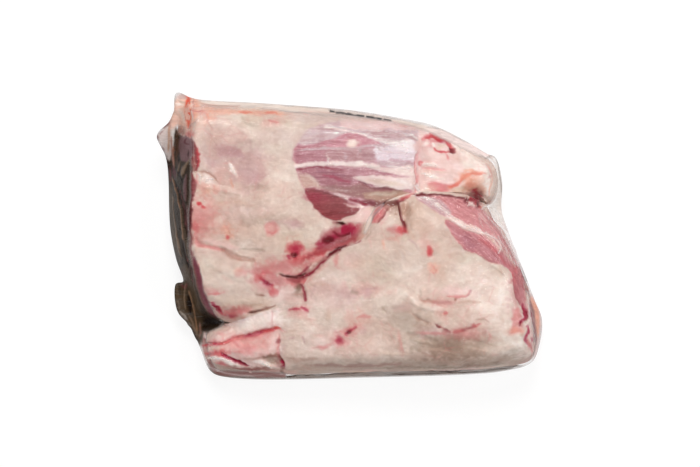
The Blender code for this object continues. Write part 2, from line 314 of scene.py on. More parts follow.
def inner_points(loop, insets, step):
    """Points inside an outline: rows at the insets, then an even grid of triangles."""
    ahead = np.roll(loop, -1, axis=0) - np.roll(loop, 1, axis=0)
    inward = np.stack([-ahead[:, 1], ahead[:, 0]], axis=1) / np.linalg.norm(ahead, axis=1)[:, None]
    area = (loop[:, 0] * np.roll(loop[:, 1], -1) - loop[:, 1] * np.roll(loop[:, 0], -1)).sum()
    if area < 0:
        inward = -inward
    found = []
    for inset in insets:
        row = loop + inward * inset
        found.append(row[inside_loop(row, loop) & (distance_to_loop(row, loop) > 0.93 * inset)])
    low, high = loop.min(axis=0), loop.max(axis=0)
    rows = np.arange(low[1], high[1], step * math.sqrt(0.75))
    grid = [(x + step / 2 * (i % 2), y) for i, y in enumerate(rows) for x in np.arange(low[0], high[0], step)]
    grid = np.array(grid)
    grid = grid[inside_loop(grid, loop)]
    found.append(grid[distance_to_loop(grid, loop) > max(insets) + 0.6 * step])
    return np.vstack(found)


# ------------------------------------------------------------------ heights
def smooth_step(value, low, high):
    t = np.clip((value - low) / (high - low), 0, 1)
    return t * t * (3 - 2 * t)


def crown(points, spine):
    """The height of the crown over each point, from the nearest places on the centre line."""
    line = np.array(spine, float)
    total, weights = np.zeros(len(points)), np.zeros(len(points))
    for start, end in zip(line[:-1], line[1:]):
        run = end - start
        share = np.clip(((points - start[:2]) @ run[:2]) / (run[:2] @ run[:2]), 0, 1)
        gap = points - start[:2] - share[:, None] * run[:2]
        weight = 1 / (np.hypot(gap[:, 0], gap[:, 1]) + 6.0) ** 4
        total += weight * (start[2] + share * run[2])
        weights += weight
    return total / weights


def bumps(points, table):
    """The sum of smooth oval rises and hollows."""
    total = np.zeros(len(points))
    for x, y, half_length, half_width, turn, rise in table:
        c, s = math.cos(math.radians(turn)), math.sin(math.radians(turn))
        dx, dy = points[:, 0] - x, points[:, 1] - y
        far = ((dx * c + dy * s) / half_length) ** 2 + ((dy * c - dx * s) / half_width) ** 2
        total += rise * np.exp(-far)
    return total


def roll(depth, radius, fullness=2.0):
    """How far up a rounded edge is at a depth inside the outline, from 0 to 1."""
    return (1 - (1 - np.clip(depth / radius, 0, 1)) ** fullness) ** (1 / fullness)


def fullness_at(points, cut):
    past = (points[:, 0] - cut["beyond"]) * cut["towards"] / CUT_BLEND
    return EDGE["fullness"] + (cut["fullness"] - EDGE["fullness"]) * np.clip(past + 0.5, 0, 1)


def upper_on_top(points):
    """1 where the upper shank lies over the lower one's edge, and 0 where the lower lies over it."""
    return smooth_step(points[:, 0], LAP_START, LAP_END)


def tucked(border, on_top, towards):
    """The border, moved towards the other shank wherever this one's edge is tucked under it."""
    line = np.array(border, float)
    ahead = np.gradient(line, axis=0)
    across = np.stack([ahead[:, 1], -ahead[:, 0]], axis=1) / np.linalg.norm(ahead, axis=1)[:, None]
    return line + across * (towards * TUCK * (1 - on_top(line)))[:, None]


class Shank:
    """One shank's smooth form as it lies in the bag: its outline in plan, and its top and foot heights."""

    def __init__(self, free, spine, cut, relief, on_top, towards):
        edge = tucked(BORDER, on_top, towards)
        self.border = evenly(spline(edge, False), FORM_STEP)
        self.free = evenly(spline((edge[-1], *free, edge[0]), False), FORM_STEP)
        self.loop = np.vstack([self.border[:-1], self.free[:-1]])
        self.spine, self.cut, self.relief, self.on_top = spine, cut, relief, on_top

    def top(self, points):
        height = crown(points, self.spine)
        middle = EDGE["equator"] * height
        full = height + bumps(points, self.relief) - FILM_ROOM
        outer = roll(distance_to_line(points, self.free), EDGE["top_roll"], fullness_at(points, self.cut))
        into, over = distance_to_line(points, self.border), self.on_top(points)
        share = LAP_UNDER["share"] + (LAP_OVER["share"] - LAP_UNDER["share"]) * over
        reach = LAP_UNDER["reach"] + (LAP_OVER["reach"] - LAP_UNDER["reach"]) * over
        inner = share * roll(into, BORDER_WALL) + (1 - share) * roll(into, reach)
        return middle + (full - middle) * outer * inner

    def foot(self, points):
        middle = EDGE["equator"] * crown(points, self.spine)
        outer = roll(distance_to_line(points, self.free), EDGE["foot_roll"])
        inner = roll(distance_to_line(points, self.border), BORDER_FOOT_ROLL)
        return FILM_ROOM + (middle - FILM_ROOM) * (1 - outer * inner)


def flange_height(points):
    """The height of the bag's loose rim, which waves a little and lifts at its ears."""
    around = np.arctan2(points[:, 1], points[:, 0])
    total = FLANGE_HEIGHT + FLANGE_WAVE * np.sin(9 * around) * np.cos(4 * around)
    for x, y, reach, rise in FLANGE_LIFTS:
        far = ((points[:, 0] - x) ** 2 + (points[:, 1] - y) ** 2) / reach**2
        total += rise * np.exp(-far)
    return total


# ------------------------------------------------------------------ meshes
def new_object(name, points, faces):
    """A mesh object from points in millimetres."""
    mesh = bpy.data.meshes.new(name)
    mesh.from_pydata((np.asarray(points) * MM).tolist(), [], faces)
    mesh.update()
    made = bpy.data.objects.new(name, mesh)
    bpy.context.scene.collection.objects.link(made)
    return made


def skin_between(name, loop, inner, top, bottom):
    """A closed mesh over an outline, whose upper and lower skins meet in the outline's own edge."""
    flat = np.vstack([loop, inner])
    rim = len(loop)
    border = [list(range(rim))]
    coords, _, faces, _, _, _ = delaunay_2d_cdt([Vector(p) for p in flat], [], border, 1, 1e-5, True)
    flat = np.array([(c.x, c.y) for c in coords])
    upper = np.column_stack([flat, top(flat)])
    lower = np.column_stack([flat[rim:], bottom(flat[rim:])])
    under = [i if i < rim else i - rim + len(flat) for i in range(len(flat))]
    faces = [f for f in faces if max(f) >= rim]
    skins = [tuple(f) for f in faces] + [tuple(under[i] for i in reversed(f)) for f in faces]
    return new_object(name, np.vstack([upper, lower]), skins)


def apply_modifier(obj, kind, **settings):
    """Adds a modifier, and puts what it makes into the object's own mesh."""
    made = obj.modifiers.new(kind.lower(), kind)
    for key, value in settings.items():
        setattr(made, key, value)
    bpy.context.view_layer.update()
    shaped = obj.evaluated_get(bpy.context.evaluated_depsgraph_get())
    mesh = bpy.data.meshes.new_from_object(shaped)
    obj.modifiers.clear()
    old, obj.data = obj.data, mesh
    bpy.data.meshes.remove(old)


def points_of(obj):
    co = np.zeros(len(obj.data.vertices) * 3, np.float32)
    obj.data.vertices.foreach_get("co", co)
    return co.reshape(-1, 3).astype(float) / MM


def normals_of(obj):
    normals = np.zeros(len(obj.data.vertices) * 3, np.float32)
    obj.data.vertex_normals.foreach_get("vector", normals)
    return normals.reshape(-1, 3).astype(float)


def set_points(obj, points):
    obj.data.vertices.foreach_set("co", (points * MM).astype(np.float32).ravel())
    obj.data.update()


def set_number(obj, name, values):
    layer = obj.data.attributes.new(name, "FLOAT", "POINT")
    layer.data.foreach_set("value", values.astype(np.float32))


def set_vector(obj, name, values):
    layer = obj.data.attributes.new(name, "FLOAT_VECTOR", "POINT")
    layer.data.foreach_set("vector", values.astype(np.float32).ravel())


def set_colour(obj, name, values):
    layer = obj.data.attributes.new(name, "FLOAT_COLOR", "POINT")
    full = np.column_stack([linear(np.clip(values, 0, 1)), np.ones(len(values))])
    layer.data.foreach_set("color", full.astype(np.float32).ravel())


def shade_smooth(obj):
    obj.data.polygons.foreach_set("use_smooth", [True] * len(obj.data.polygons))


# ------------------------------------------------------------------ marks
def noise(points, size, seed):
    """Smooth noise from -1 to 1 whose lumps are about size across."""
    table = np.random.default_rng(seed).uniform(-1, 1, 4096)
    place = points / size + 50.0
    cell = np.floor(place).astype(np.int64)
    part = place - cell
    part = part * part * (3 - 2 * part)
    total = np.zeros(len(points))
    primes = np.array([73856093, 19349663, 83492791])[: points.shape[1]]
    for corner in itertools.product((0, 1), repeat=points.shape[1]):
        key = np.bitwise_xor.reduce((cell + corner) * primes, axis=1) % 4096
        total += table[key] * np.where(corner, part, 1 - part).prod(axis=1)
    return total


class Canvas:
    """The paint, relief, muscle and cover of each point of a piece, laid on as marks placed in pixels."""

    def __init__(self, obj, base, ragged):
        self.obj = obj
        self.points, self.normals = points_of(obj), normals_of(obj)
        self.pixels = pixels_of(self.points)
        shift = [
            noise(self.points, 7.0, 11 + i) + 0.5 * noise(self.points, 2.4, 21 + i)
            + 0.5 * ragged * noise(self.points, 1.3, 31 + i) for i in (0, 1)
        ]
        self.pixels += np.stack(shift, axis=1)
        patchy = noise(self.points, 3.0, 61) + 0.9 * noise(self.points, 1.3, 62)
        self.fading = 2.0 ** (1.5 * ragged * patchy)
        self.blur = 1 + 0.4 * ragged
        self.over = smooth_step(self.normals[:, 2], -0.35, 0.1)
        self.low = 1 - smooth_step(self.points[:, 2], *MEAT_LOW)
        self.face = self.over
        self.paint = np.tile(paint_of(base), (len(self.points), 1))
        self.rise = np.zeros(len(self.points))
        self.muscle = np.zeros(len(self.points))
        self.cover = np.zeros(len(self.points))

    def lay(self, amount, name, strength, rise, muscle, cover):
        """Lays one mark: amount, from 0 to 1, is how much of it each point takes."""
        amount = amount ** self.fading * self.face
        self.rise += rise * amount
        if name:
            self.paint += (paint_of(name) - self.paint) * (strength * amount)[:, None]
        if muscle is not None:
            self.muscle += (muscle - self.muscle) * strength * amount
        if cover is not None:
            self.cover += (cover - self.cover) * strength * amount

    def spot(self, name, place, halves, strength=1.0, turn=0.0, edge=0.9, rise=0.0, muscle=None, cover=None):
        """An oval mark; an edge near 0 is crisp, and near 1 fades from the middle out."""
        c, s = math.cos(math.radians(turn)), math.sin(math.radians(turn))
        dx, dy = (self.pixels - place).T
        far = np.hypot((dx * c - dy * s) / halves[0], (dx * s + dy * c) / halves[1])
        self.lay(1 - smooth_step(far, 1 - edge, 1 + edge), name, strength, rise, muscle, cover)

    def stroke(
        self, name, places, width, strength=1.0, soft=1.6, rise=0.0, muscle=None, cover=None, taper=True
    ):
        """A line of a width that thins towards both ends."""
        soft = soft * self.blur if soft < FINE_EDGE else soft
        line = spline(places, False, 5)
        low, high = line.min(axis=0) - width - soft, line.max(axis=0) + width + soft
        near = ((self.pixels > low) & (self.pixels < high)).all(axis=1).nonzero()[0]
        amount = np.zeros(len(self.pixels))
        if len(near):
            spread = distance_to_line(self.pixels[near], line)
            ends = np.minimum(
                np.hypot(*(self.pixels[near] - line[0]).T), np.hypot(*(self.pixels[near] - line[-1]).T)
            )
            half = width / 2 * (np.clip(0.25 + ends / (2.5 * width), 0, 1) if taper else 1.0)
            amount[near] = 1 - smooth_step(spread, half - soft / 2, half + soft / 2)
        self.lay(amount, name, strength, rise, muscle, cover)

    def patch(self, name, places, strength=1.0, soft=2.0, rise=0.0, muscle=None, cover=None):
        """A filled smooth outline."""
        loop = spline(places, True, 5)
        low, high = loop.min(axis=0) - soft, loop.max(axis=0) + soft
        near = ((self.pixels > low) & (self.pixels < high)).all(axis=1).nonzero()[0]
        amount = np.zeros(len(self.pixels))
        if len(near):
            depth = distance_to_loop(self.pixels[near], loop)
            depth[~inside_loop(self.pixels[near], loop)] *= -1
            amount[near] = smooth_step(depth, -soft / 2, soft / 2)
        self.lay(amount, name, strength, rise, muscle, cover)

    def draw(self, table):
        """Lays a table of marks: kind, colour, places as x,y, then width and strength, then options."""
        marks = []
        for word in table.split():
            if word in ("spot", "stroke", "patch"):
                marks.append([])
            marks[-1].append(word)
        for kind, name, *words in marks:
            pairs = [tuple(float(part) for part in word.split(",")) for word in words if "," in word]
            numbers = [float(word) for word in words if "," not in word and "=" not in word]
            options = dict(word.split("=") for word in words if "=" in word)
            options = {key: float(value) for key, value in options.items()}
            if kind == "spot":
                self.spot(name, *pairs, *numbers, **options)
            elif kind == "stroke":
                self.stroke(name, pairs, *numbers, **options)
            else:
                self.patch(name, pairs, *numbers, **options)

    def wash_sides(self):
        """Fat with pink stains down the steep sides, which marks placed from above would only streak, and
        painted shade on the sides that face the front.
        """
        steep = 1 - smooth_step(np.abs(self.normals[:, 2]), 0.35, 0.7)
        side = steep * (1 - smooth_step(self.points[:, 2], 28.0, 37.0)) * (1 - np.clip(self.muscle, 0, 1))
        side = side * smooth_step(self.points[:, 0], -90.0, -82.0)
        self.lay(side, "fat", 0.85, 0.0, None, None)
        # painted shade: the steep sides facing the front, away from the key light, are painted brown-grey
        front = smooth_step(-self.normals[:, 1], 0.2, 0.7)
        self.lay(side * front, "brown_grey", 0.55, 0.0, None, None)
        for name, size, seed in SIDE_STAINS:
            self.lay(side * smooth_step(noise(self.points, size, seed), 0.1, 0.6), name, 0.6, 0.0, None, None)

    def knead(self):
        """Lumps and drawn wrinkles in the fat, with painted shade darkening their hollows and painted light
        on their crowns.
        """
        spread = 1 - 0.75 * np.clip(self.muscle, 0, 1)
        bend = np.stack([noise(self.points, 11.0, 41 + i) for i in range(3)], axis=1)
        place = self.points + 2.2 * bend
        lumps = noise(place, 8.0, 51) + 0.65 * noise(place, 4.1, 52) + 0.45 * noise(place, 2.1, 53)
        drawn = place * (0.45, 1.0, 0.8)
        wrinkles = noise(drawn, 2.2, 54) + 0.7 * noise(drawn, 1.2, 55)
        self.rise += spread * (LUMP_RISE * lumps + WRINKLE_RISE * wrinkles)
        # painted shade in the hollows and painted light on the crowns, following the relief
        painted_shade = spread * (LUMP_PAINTED_SHADE * lumps + WRINKLE_PAINTED_SHADE * wrinkles)
        self.paint *= 1 + painted_shade[:, None] * PAINTED_SHADE_TINT

    def finish(self, fibres=None):
        """Raises the points and stores the marks; only a piece of meat has fibres, and is kneaded."""
        if fibres is not None:
            self.wash_sides()
            self.knead()
            outward = np.maximum(self.rise - MEAT_SINK, 0)
            self.rise = np.minimum(self.rise - MEAT_SINK, MOST_RISE * (1 - np.exp(-outward / MOST_RISE)))
        set_points(self.obj, self.points + self.normals * self.rise[:, None])
        set_colour(self.obj, "paint", self.paint)
        set_number(self.obj, "muscle", self.muscle)
        set_number(self.obj, "cover", self.cover)
        if fibres is not None:
            set_vector(self.obj, "fibre", fibre_places(self.points, self.pixels, fibres))


def fibre_places(points, pixels, guide):
    """For each point, how far it lies along and across a guide line, and its height."""
    line = spline(guide, False, 4)
    best, along, across = np.full(len(points), np.inf), np.zeros(len(points)), np.zeros(len(points))
    passed = 0.0
    for start, end in zip(line[:-1], line[1:]):
        run = end - start
        length = np.hypot(*run)
        share = np.clip(((pixels - start) @ run) / length**2, 0, 1)
        gap = pixels - start - share[:, None] * run
        far = np.hypot(*gap.T)
        side = np.sign(run[0] * (pixels[:, 1] - start[1]) - run[1] * (pixels[:, 0] - start[0]))
        nearer = far < best
        best = np.where(nearer, far, best)
        along = np.where(nearer, passed + share * length, along)
        across = np.where(nearer, side * far, across)
        passed += length
    return np.stack([along * MM_PER_PIXEL, across * MM_PER_PIXEL, points[:, 2]], axis=1)


# ------------------------------------------------------------------ where the two shanks meet
def mark_seam(c):
    """The dark line between the shanks, with the slit and the creases that run into it, and the hole at the
    heel. Their dark is painted shade where the meat meets and folds; the reds around it are blood.
    """
    # painted shade: the dark lines along the seam, in the slit and creases, and in the hole at the heel
    c.draw("""
    stroke brown_grey 300,284 304,292 306,302 7 .35 soft=5
    stroke cut_red 345,246 338,249.5 331,253.5 326,259 320,264 312,271 300,277 4.6 .5 soft=4
    stroke blood 326,260 320,264.5 312,271.5 305,276 299,278 1.8 .85 soft=1.4
    stroke blood_dark 345,246 338,249.5 331,253.5 327,257 2.8 .95 soft=1.4 rise=-.5
    stroke blood 311,265.5 304,271 297,277 1.6 .7
    stroke hollow_black 279.6,274 285,275.8 291,276.8 300,276.4 304.6,273.8 1.9 .95 soft=1.4 rise=-.8
    stroke cut_red 288,279 298,280 306,276 4.5 .6 soft=3
    stroke blood 301.5,285 304.5,291 306,300 3 .8 soft=2 rise=-.5
    spot film_olive 298.5,288.5 3.2,4.2 .5 edge=.7
    spot brown_grey 299,294 4.5,2.6 .6
    stroke brown 249,313.6 256,311.6 262,310 270,306.6 275,305 2.4 .9 soft=1.4
    stroke cut_dark 249,313.6 256,311.6 262,310 1.6 .7 soft=1.2
    stroke tan 222,321 234,319 250,315 3 .5 soft=3
    stroke blood_dark 406,198 397,202 385,204.5 373,203.4 362,201 5 .7 soft=3.4 rise=-.6
    spot hollow_black 393,203 7,2.8 .6 turn=-10
    spot brown 392,206 12,5 .6 turn=-10
    stroke pink 386,206.5 390,205.4 2.2 .7
    stroke blood 350,199 358,201.5 367,204.5 2.2 .8
    stroke blood_dark 412,193.6 425,194.3 438,194.8 450,196 466,198.4 2 .9 soft=1.4 rise=-.2
    stroke red 400,199 406,196.5 413,192 3.4 .6 soft=2.4
    spot brown_warm 474,190 9,7 .6 turn=-35
    patch red 473,190 476,190 480,196 483.6,203 481,208 475,204 468,201 471,196 .9 4 rise=-.5
    spot blood 476,197.5 4.2,5 .75 turn=-35
    spot blood_dark 467,200.5 2.6,3 .85 edge=.6 rise=-.5
    spot blood_dark 480,203.5 2.2,4.4 .85 turn=-35 edge=.6 rise=-.5
    stroke pink_pale 467.5,201.5 471,203.4 474.5,206 2.6 .95 rise=.6""")


# ------------------------------------------------------------------ the upper shank
UPPER_FIBRES = ((170, 170), (300, 166), (415, 168), (500, 190))


def mark_upper_fat(c):
    """The fat of the upper shank, with its creams, mauves and olive stains, and two painted highlights in
    white.
    """
    # painted highlights: the white streak near 232,170 and the white spot near 208,180
    c.draw("""
    spot cream_light 226,126 44,17 .95
    spot cream 262,134 44,18 .5
    spot cream 284,176 22,46 .75
    spot cream_light 274,172 13,36 .5
    spot olive_pale 251,121 14,7 .7
    stroke olive_grey 241,115 245,122 250,127 2.2 .4
    spot olive_grey 252,124 7,2.6 .3
    spot grey_pink 284,140 20,14 .6
    spot olive_pale 287,122 4,6 .6
    spot pink 274,122 9,4 .75 turn=12
    stroke pink_red 269,120 274,122.5 280,122.5 2 .45
    spot olive_pale 262,148 30,5 .35
    spot mauve 224,158 28,26 .6
    spot mauve 250,168 17,21 .85 edge=.4 rise=-.3
    spot mauve_dark 232,153 13,6.5 .8 turn=-14 edge=.7
    spot mauve_dark 257,178 8,5 .5
    spot mauve_dark 246,173 7,7 .3
    spot grey_pink 205,150 5,20 .7
    spot lavender 212,163 6,4 .5
    stroke pink_red 223,164 230,162.5 2 .35
    stroke white 228.5,163 232,169 237,177 4.4 .95 rise=.4
    spot pink 219,175 7,9 .4
    stroke brown 198,171.5 208,173 214,177 218,182 2.4 .6 rise=-.6
    spot white 208.5,180 7,3.6 .9 turn=-28
    stroke cream_light 199,183 215,187 228,190 242,195 6 .7 rise=.5
    stroke orange 230.5,180 233,188 2 .5
    spot brown_grey 258,187 10,3 .45
    spot orange 206,191 9,5 .4
    spot mauve 245,193 8,3 .4
    stroke tan 212,203 238,203 254,206 6 .7 soft=5
    stroke brown_grey 236,206 249,206 256,209 1.6 .3
    spot pink 206,216 15,22 .95
    spot rosy 199,220 9,18 .45
    spot red 199.5,203.5 3.2,2 .9 edge=.5
    spot red 203.5,206.5 2.2,1.6 .75 edge=.5
    spot mauve 240,216 22,11 .45
    spot olive_pale 295,240 22,12 .55
    spot cream 313,238 9,8 .6
    spot tan 252,228 30,12 .45
    spot brown_grey 272,221 26,4.5 .5
    spot mauve_dark 294,224 7.5,4.5 .7
    spot mauve 280,222 10,3 .5
    spot pink_red 271.5,229 7,6.5 .55 edge=.4
    spot pink 271,229 3.4,3.4 .8 edge=.9
    stroke red 267,232 272,234 276,231 1.3 .4
    spot orange 228,233 4.5,6 .45
    spot red 228,237.4 1.6,2.2 .75 edge=.5
    spot red 195,229 3,5 .45
    stroke pink_red 195,239 200,245 212,248 224,250 3.6 .55 soft=3 rise=-.7
    stroke pink_pale 204,241 222,244 240,248 6 .7 soft=4 rise=.7
    stroke brown 221,249 230,254 240,258 252,260.5 5 .6 soft=4 rise=-1.3
    stroke brown_grey 240,248 252,249 266,251 2.4 .6 soft=2
    stroke brown_grey 251,259 252,267 1.6 .35
    spot mauve 212,254 14,3 .3
    stroke cream_light 208,263 226,270 246,274 7 .45 soft=5 rise=.5
    spot cream 251,285 16,9 .7
    spot olive_pale 208,266 8,12 .35
    spot pink_pale 286,294 20,11 .7
    spot cream_warm 248,304 26,7 .6
    stroke brown_warm 232,311 250,307.6 270,303 4 .45 soft=4
    spot brown_grey 246,305 10,3 .3
    spot orange 238,270 4,3 .3
    stroke brown_grey 228,274 236,280 244,283 1.6 .22 soft=2
    stroke pink 222,276 234,283 2.4 .25 soft=2""")


def mark_upper_blood(c):
    """Blood and bruises in the fat of the upper shank, with painted shade in a small hollow near 341,223."""
    c.draw("""
    stroke rosy 240,271 256,271 274,269 296,261 318,251 336,244 11 .6 soft=10
    stroke red 290,262 300,259 308,257 318,252 334,247 7 .65 soft=7
    stroke cut_red 303,259 312,255 322,251 336,248 4 .5 soft=4
    spot rosy 288,280 17,6 .7
    spot red 300,281 7,5 .5
    spot red 295,250.5 7.5,7 .75 edge=.6
    spot crimson 296,250 5,5 .65 edge=.7
    spot blood_dark 294.5,255 3.4,1.9 .95 turn=10 edge=.5
    spot crimson 288.7,257 1.4,2.2 .7 edge=.5
    patch bruise 318,249 322,236 331,228 345,223.5 360,224 364,231 359,238 348,244 336,250 .85 8
    stroke red 316,254 330,249 346,243 360,236 4 .5 soft=5
    patch crimson 342,225 351,224 357,228 354,234 348,233 340,231 .9 6
    spot rosy 360,232 5,7 .6 turn=20
    stroke crimson 318,244 328,241 336,236 346,231 7 .75 soft=7
    spot blood_dark 328.5,240.6 6,3 .97 turn=6 edge=.8 rise=-.5
    stroke blood_dark 333,232 338,235.5 343,235.5 350,232.5 2 .7 soft=1.6
    stroke pink_red 303,268 314,262 328,257 5 .6 soft=4
    stroke tan 306,269 318,261 328,258 3 .5 soft=2
    spot rosy 268,281 13,9 .65
    spot rosy 283,268 16,7 .5 turn=-12
    stroke crimson 261.5,278.4 265,282 271,285.4 5.6 .95 soft=2.4
    spot red 261,278 4.6,3.4 .6
    spot red 272,290 3.4,3.4 .6
    stroke blood 265,282.4 269,284.4 2 .7 taper=0
    stroke pink_red 258,277 265,273 272,273 4 .65 soft=3
    stroke red 270,286 272,289 272,291 2.2 .6 soft=1.6
    spot pink_red 273.5,292.5 3.6,3 .7
    stroke brown 255.5,295 261,295.4 266,297 2.2 .85
    stroke pink_red 209,294.5 216,294 224,292 3 .65 soft=3
    spot pink_red 214,291 9,3.6 .35
    stroke crimson 212,304 217,308 222,313.6 4.4 .95 soft=2.4
    stroke red 221,313 226,316.6 236,318.4 2.4 .7 soft=2
    stroke blood 213,305 221,311 2.6 .7
    spot red 232,314.5 11,5 .6
    spot crimson 229,316.6 5,2 .5
    spot pink_red 244,311 9,3.4 .55
    spot hollow_black 341,223.4 5.2,1.7 .97 edge=.5
    spot olive_grey 338,226 2.4,1.8 .7
    spot cut_red 335,223 3,2 .5
    patch cream_warm 362,226 371,220 371,232 365,238 358,240 .7 6""")


UPPER_MUSCLE = (
    (294.5, 150), (296, 147), (300, 141), (306, 133), (313, 128), (322, 125), (350, 126.5), (385, 129),
    (416, 134), (421, 150), (420, 170), (413, 190), (404, 199), (385, 203), (368, 207), (358, 211),
    (345, 217), (337, 221), (329, 219.5), (318, 211.5), (311, 203), (304, 190.5), (299, 180),
    (296.5, 168), (294.7, 160),
)


def mark_upper_muscle(c):
    """The bare muscle of the upper shank, and what lies over it, with a painted highlight for the film's
    sheen and painted shade under the muscle.
    """
    c.patch("muscle", UPPER_MUSCLE, 1.0, 2.0, rise=-0.9, muscle=1.0)
    # painted highlight: the bluish and white patches near 400,150 stand for the film's sheen; painted shade:
    # the browns along the muscle's lower edge near 360-405,186-202
    c.draw("""
    patch lavender 300,141 306,132 322,124 345,121 396,122 430,127 424,150 392,148 375,141 350,133
        332,139 316,144 303,146 .97 3.4
    stroke mauve_dark 312,130 322,127.6 332,128.5 340,132 4 .5 soft=3
    stroke mauve 302,141 316,137 330,137 3 .4 soft=3
    patch mauve_dark 364,131 378,129.5 404,133 418,137 400,140.5 382,138 .55 3
    patch pink_pale 345,120 396,122 428,127 420,130 380,128.6 345,128 .7 3 muscle=.2
    stroke tendon 325,125 338,128.6 352,131.6 366,135.4 382,140 400,144 2.6 .85 soft=1.8 rise=.2
        muscle=.3
    patch muscle_rose 294.5,150.5 299,146.5 318,143.6 332,139 343,134.6 352,133 366,137 379,142.6 374,146
        345,147 312,148.6 .95 2.2
    stroke muscle_mid 300,147.4 318,145 335,141.5 344,138 2.2 .5
    spot cream_light 353,142.6 5.2,3.8 1 edge=.5 rise=.5 muscle=0
    spot white 354,141.6 2.8,2 .8 edge=.8 muscle=0
    stroke lavender 294,151.4 312,149.2 335,147.8 350,147.8 372,145.6 398,147 2.4 .9 soft=1.4 rise=.2
    patch muscle_mid 295,152 312,150.5 345,150 373,150 376,158 370,161.5 330,161.5 296,163.5 .55 2.2
    patch mauve_dark 330,149.5 374,148.5 376,160 350,161.5 330,161 .65 4
    spot muscle_mid 297.5,156 4,7 .8
    stroke lavender 344,150 345.5,156 345.5,161 2.2 .7
    stroke lavender 358,151 358.5,156 1.6 .7
    stroke pink_pale 328.4,156.6 328.6,160 328.4,165 2 .9 rise=.3
    patch bluish 374,148 392,146 412,139 421,150 420,162 396,159 379,162 375,156 .9 3.4 muscle=.4
    patch white 394,142 410,139 418,146 410,150 396,149 .6 4 muscle=.2
    stroke brown_grey 377.5,147.6 380,149.6 382,152 1.6 .7
    stroke mauve 385,151 398,152.4 414,155.6 1.5 .6
    patch lavender 379,162 392,161 412,163 412,166.4 392,167 380,166.6 .75 2
    stroke mauve_dark 381,164 396,163.6 410,165.4 1.8 .4
    stroke tendon 296,165.6 315,164.4 335,163.8 360,164.2 378,166.4 4.4 .97 soft=1.6 rise=.5 muscle=.2
        taper=0
    patch tendon 372,165 384,167.6 400,167 419,165.5 419,176 402,175.5 384,172.5 372,169 .97 2 rise=.5
        muscle=.2
    spot white 362,163.4 5,2 .8
    spot white 405,171 8,3 .6
    patch muscle_mid 297,169.5 310,168 330,168 350,169.6 380,172.6 392,174.6 384,176.4 352,176 352,183
        340,187 324,184 308,176 .9 2.2
    stroke muscle 344,172.6 360,173 378,174.2 2.6 .7
    stroke blood 297,169 305,169 315,167.5 325,168 334,169.4 345,169.8 1.7 .7 soft=1.2
    stroke crimson 322,176 332,177 340,180.4 348,182 3 .55 soft=2.4
    stroke purple 316,172.5 330,173.5 345,176 2.4 .5
    patch tan 298.5,173 306,175 316,182 322,188.4 311,188 304,189 300,182 .75 5 muscle=.4
    stroke cream 307,176 313,180 318,184 5 .75 soft=2.4 muscle=0
    stroke tan 320,186.6 330,190 343,192.4 3.2 .6 soft=2 muscle=.3
    patch tendon 352,177 368,175.8 392,177 406,178.4 416,177 415,188 404,190.6 390,189 374,186 362,181
        .95 2.2 rise=.7 muscle=.1
    stroke cream_warm 366,180 384,183 404,185 5 .6 soft=3 muscle=.1
    patch muscle_brown 322,186 344,187 360,184 374,188 396,190 404,194 400,199 386,202 366,200 348,196
        332,192 .75 3 muscle=.8
    stroke lavender 324,187.6 336,190.4 350,191 2.2 .45
    stroke muscle_deep 359,182.5 364,184.4 370,188 2.8 .7 rise=-.4
    stroke muscle_deep 371,189 380,189.6 394,189.4 3 .75 rise=-.4
    patch brown_warm 364,193 380,192.4 404,191.4 410,195 400,198.6 382,200 366,199 .85 3 muscle=.3
    stroke olive_pale 368,195 382,194.4 396,193.4 2.6 .6 soft=2 muscle=.1
    patch muscle_deep 304.6,190.2 312,189 320,191 334,195 346,199.4 348,204 359,207 356,213 345,217.4
        337,221 329,219.5 318,211 311,203 1 1.8
    patch muscle_red 306,191 318,191 334,196 346,202 357,208 345,217 337,220.4 329,219 318,210.6 311,202
        .7 3
    spot crimson 316,196 11,5 .45 turn=-8
    spot muscle_deep 336,210 14,7 .5
    stroke cut_red 308,191 318,191.4 333,196 2.2 .7
    stroke tendon 333,193.6 344,197 356,202 367,207 3 .75 soft=2
    stroke pink_pale 344,204 354,206.6 366,207 2.6 .7
    stroke blood 348,199.4 358,202.4 366,205.6 1.6 .7
    patch pink_pale 344,218.6 356,213 362,209 370,208 372,216 371,222 364,223 350,221 344,220 .85 5
        muscle=.1""")


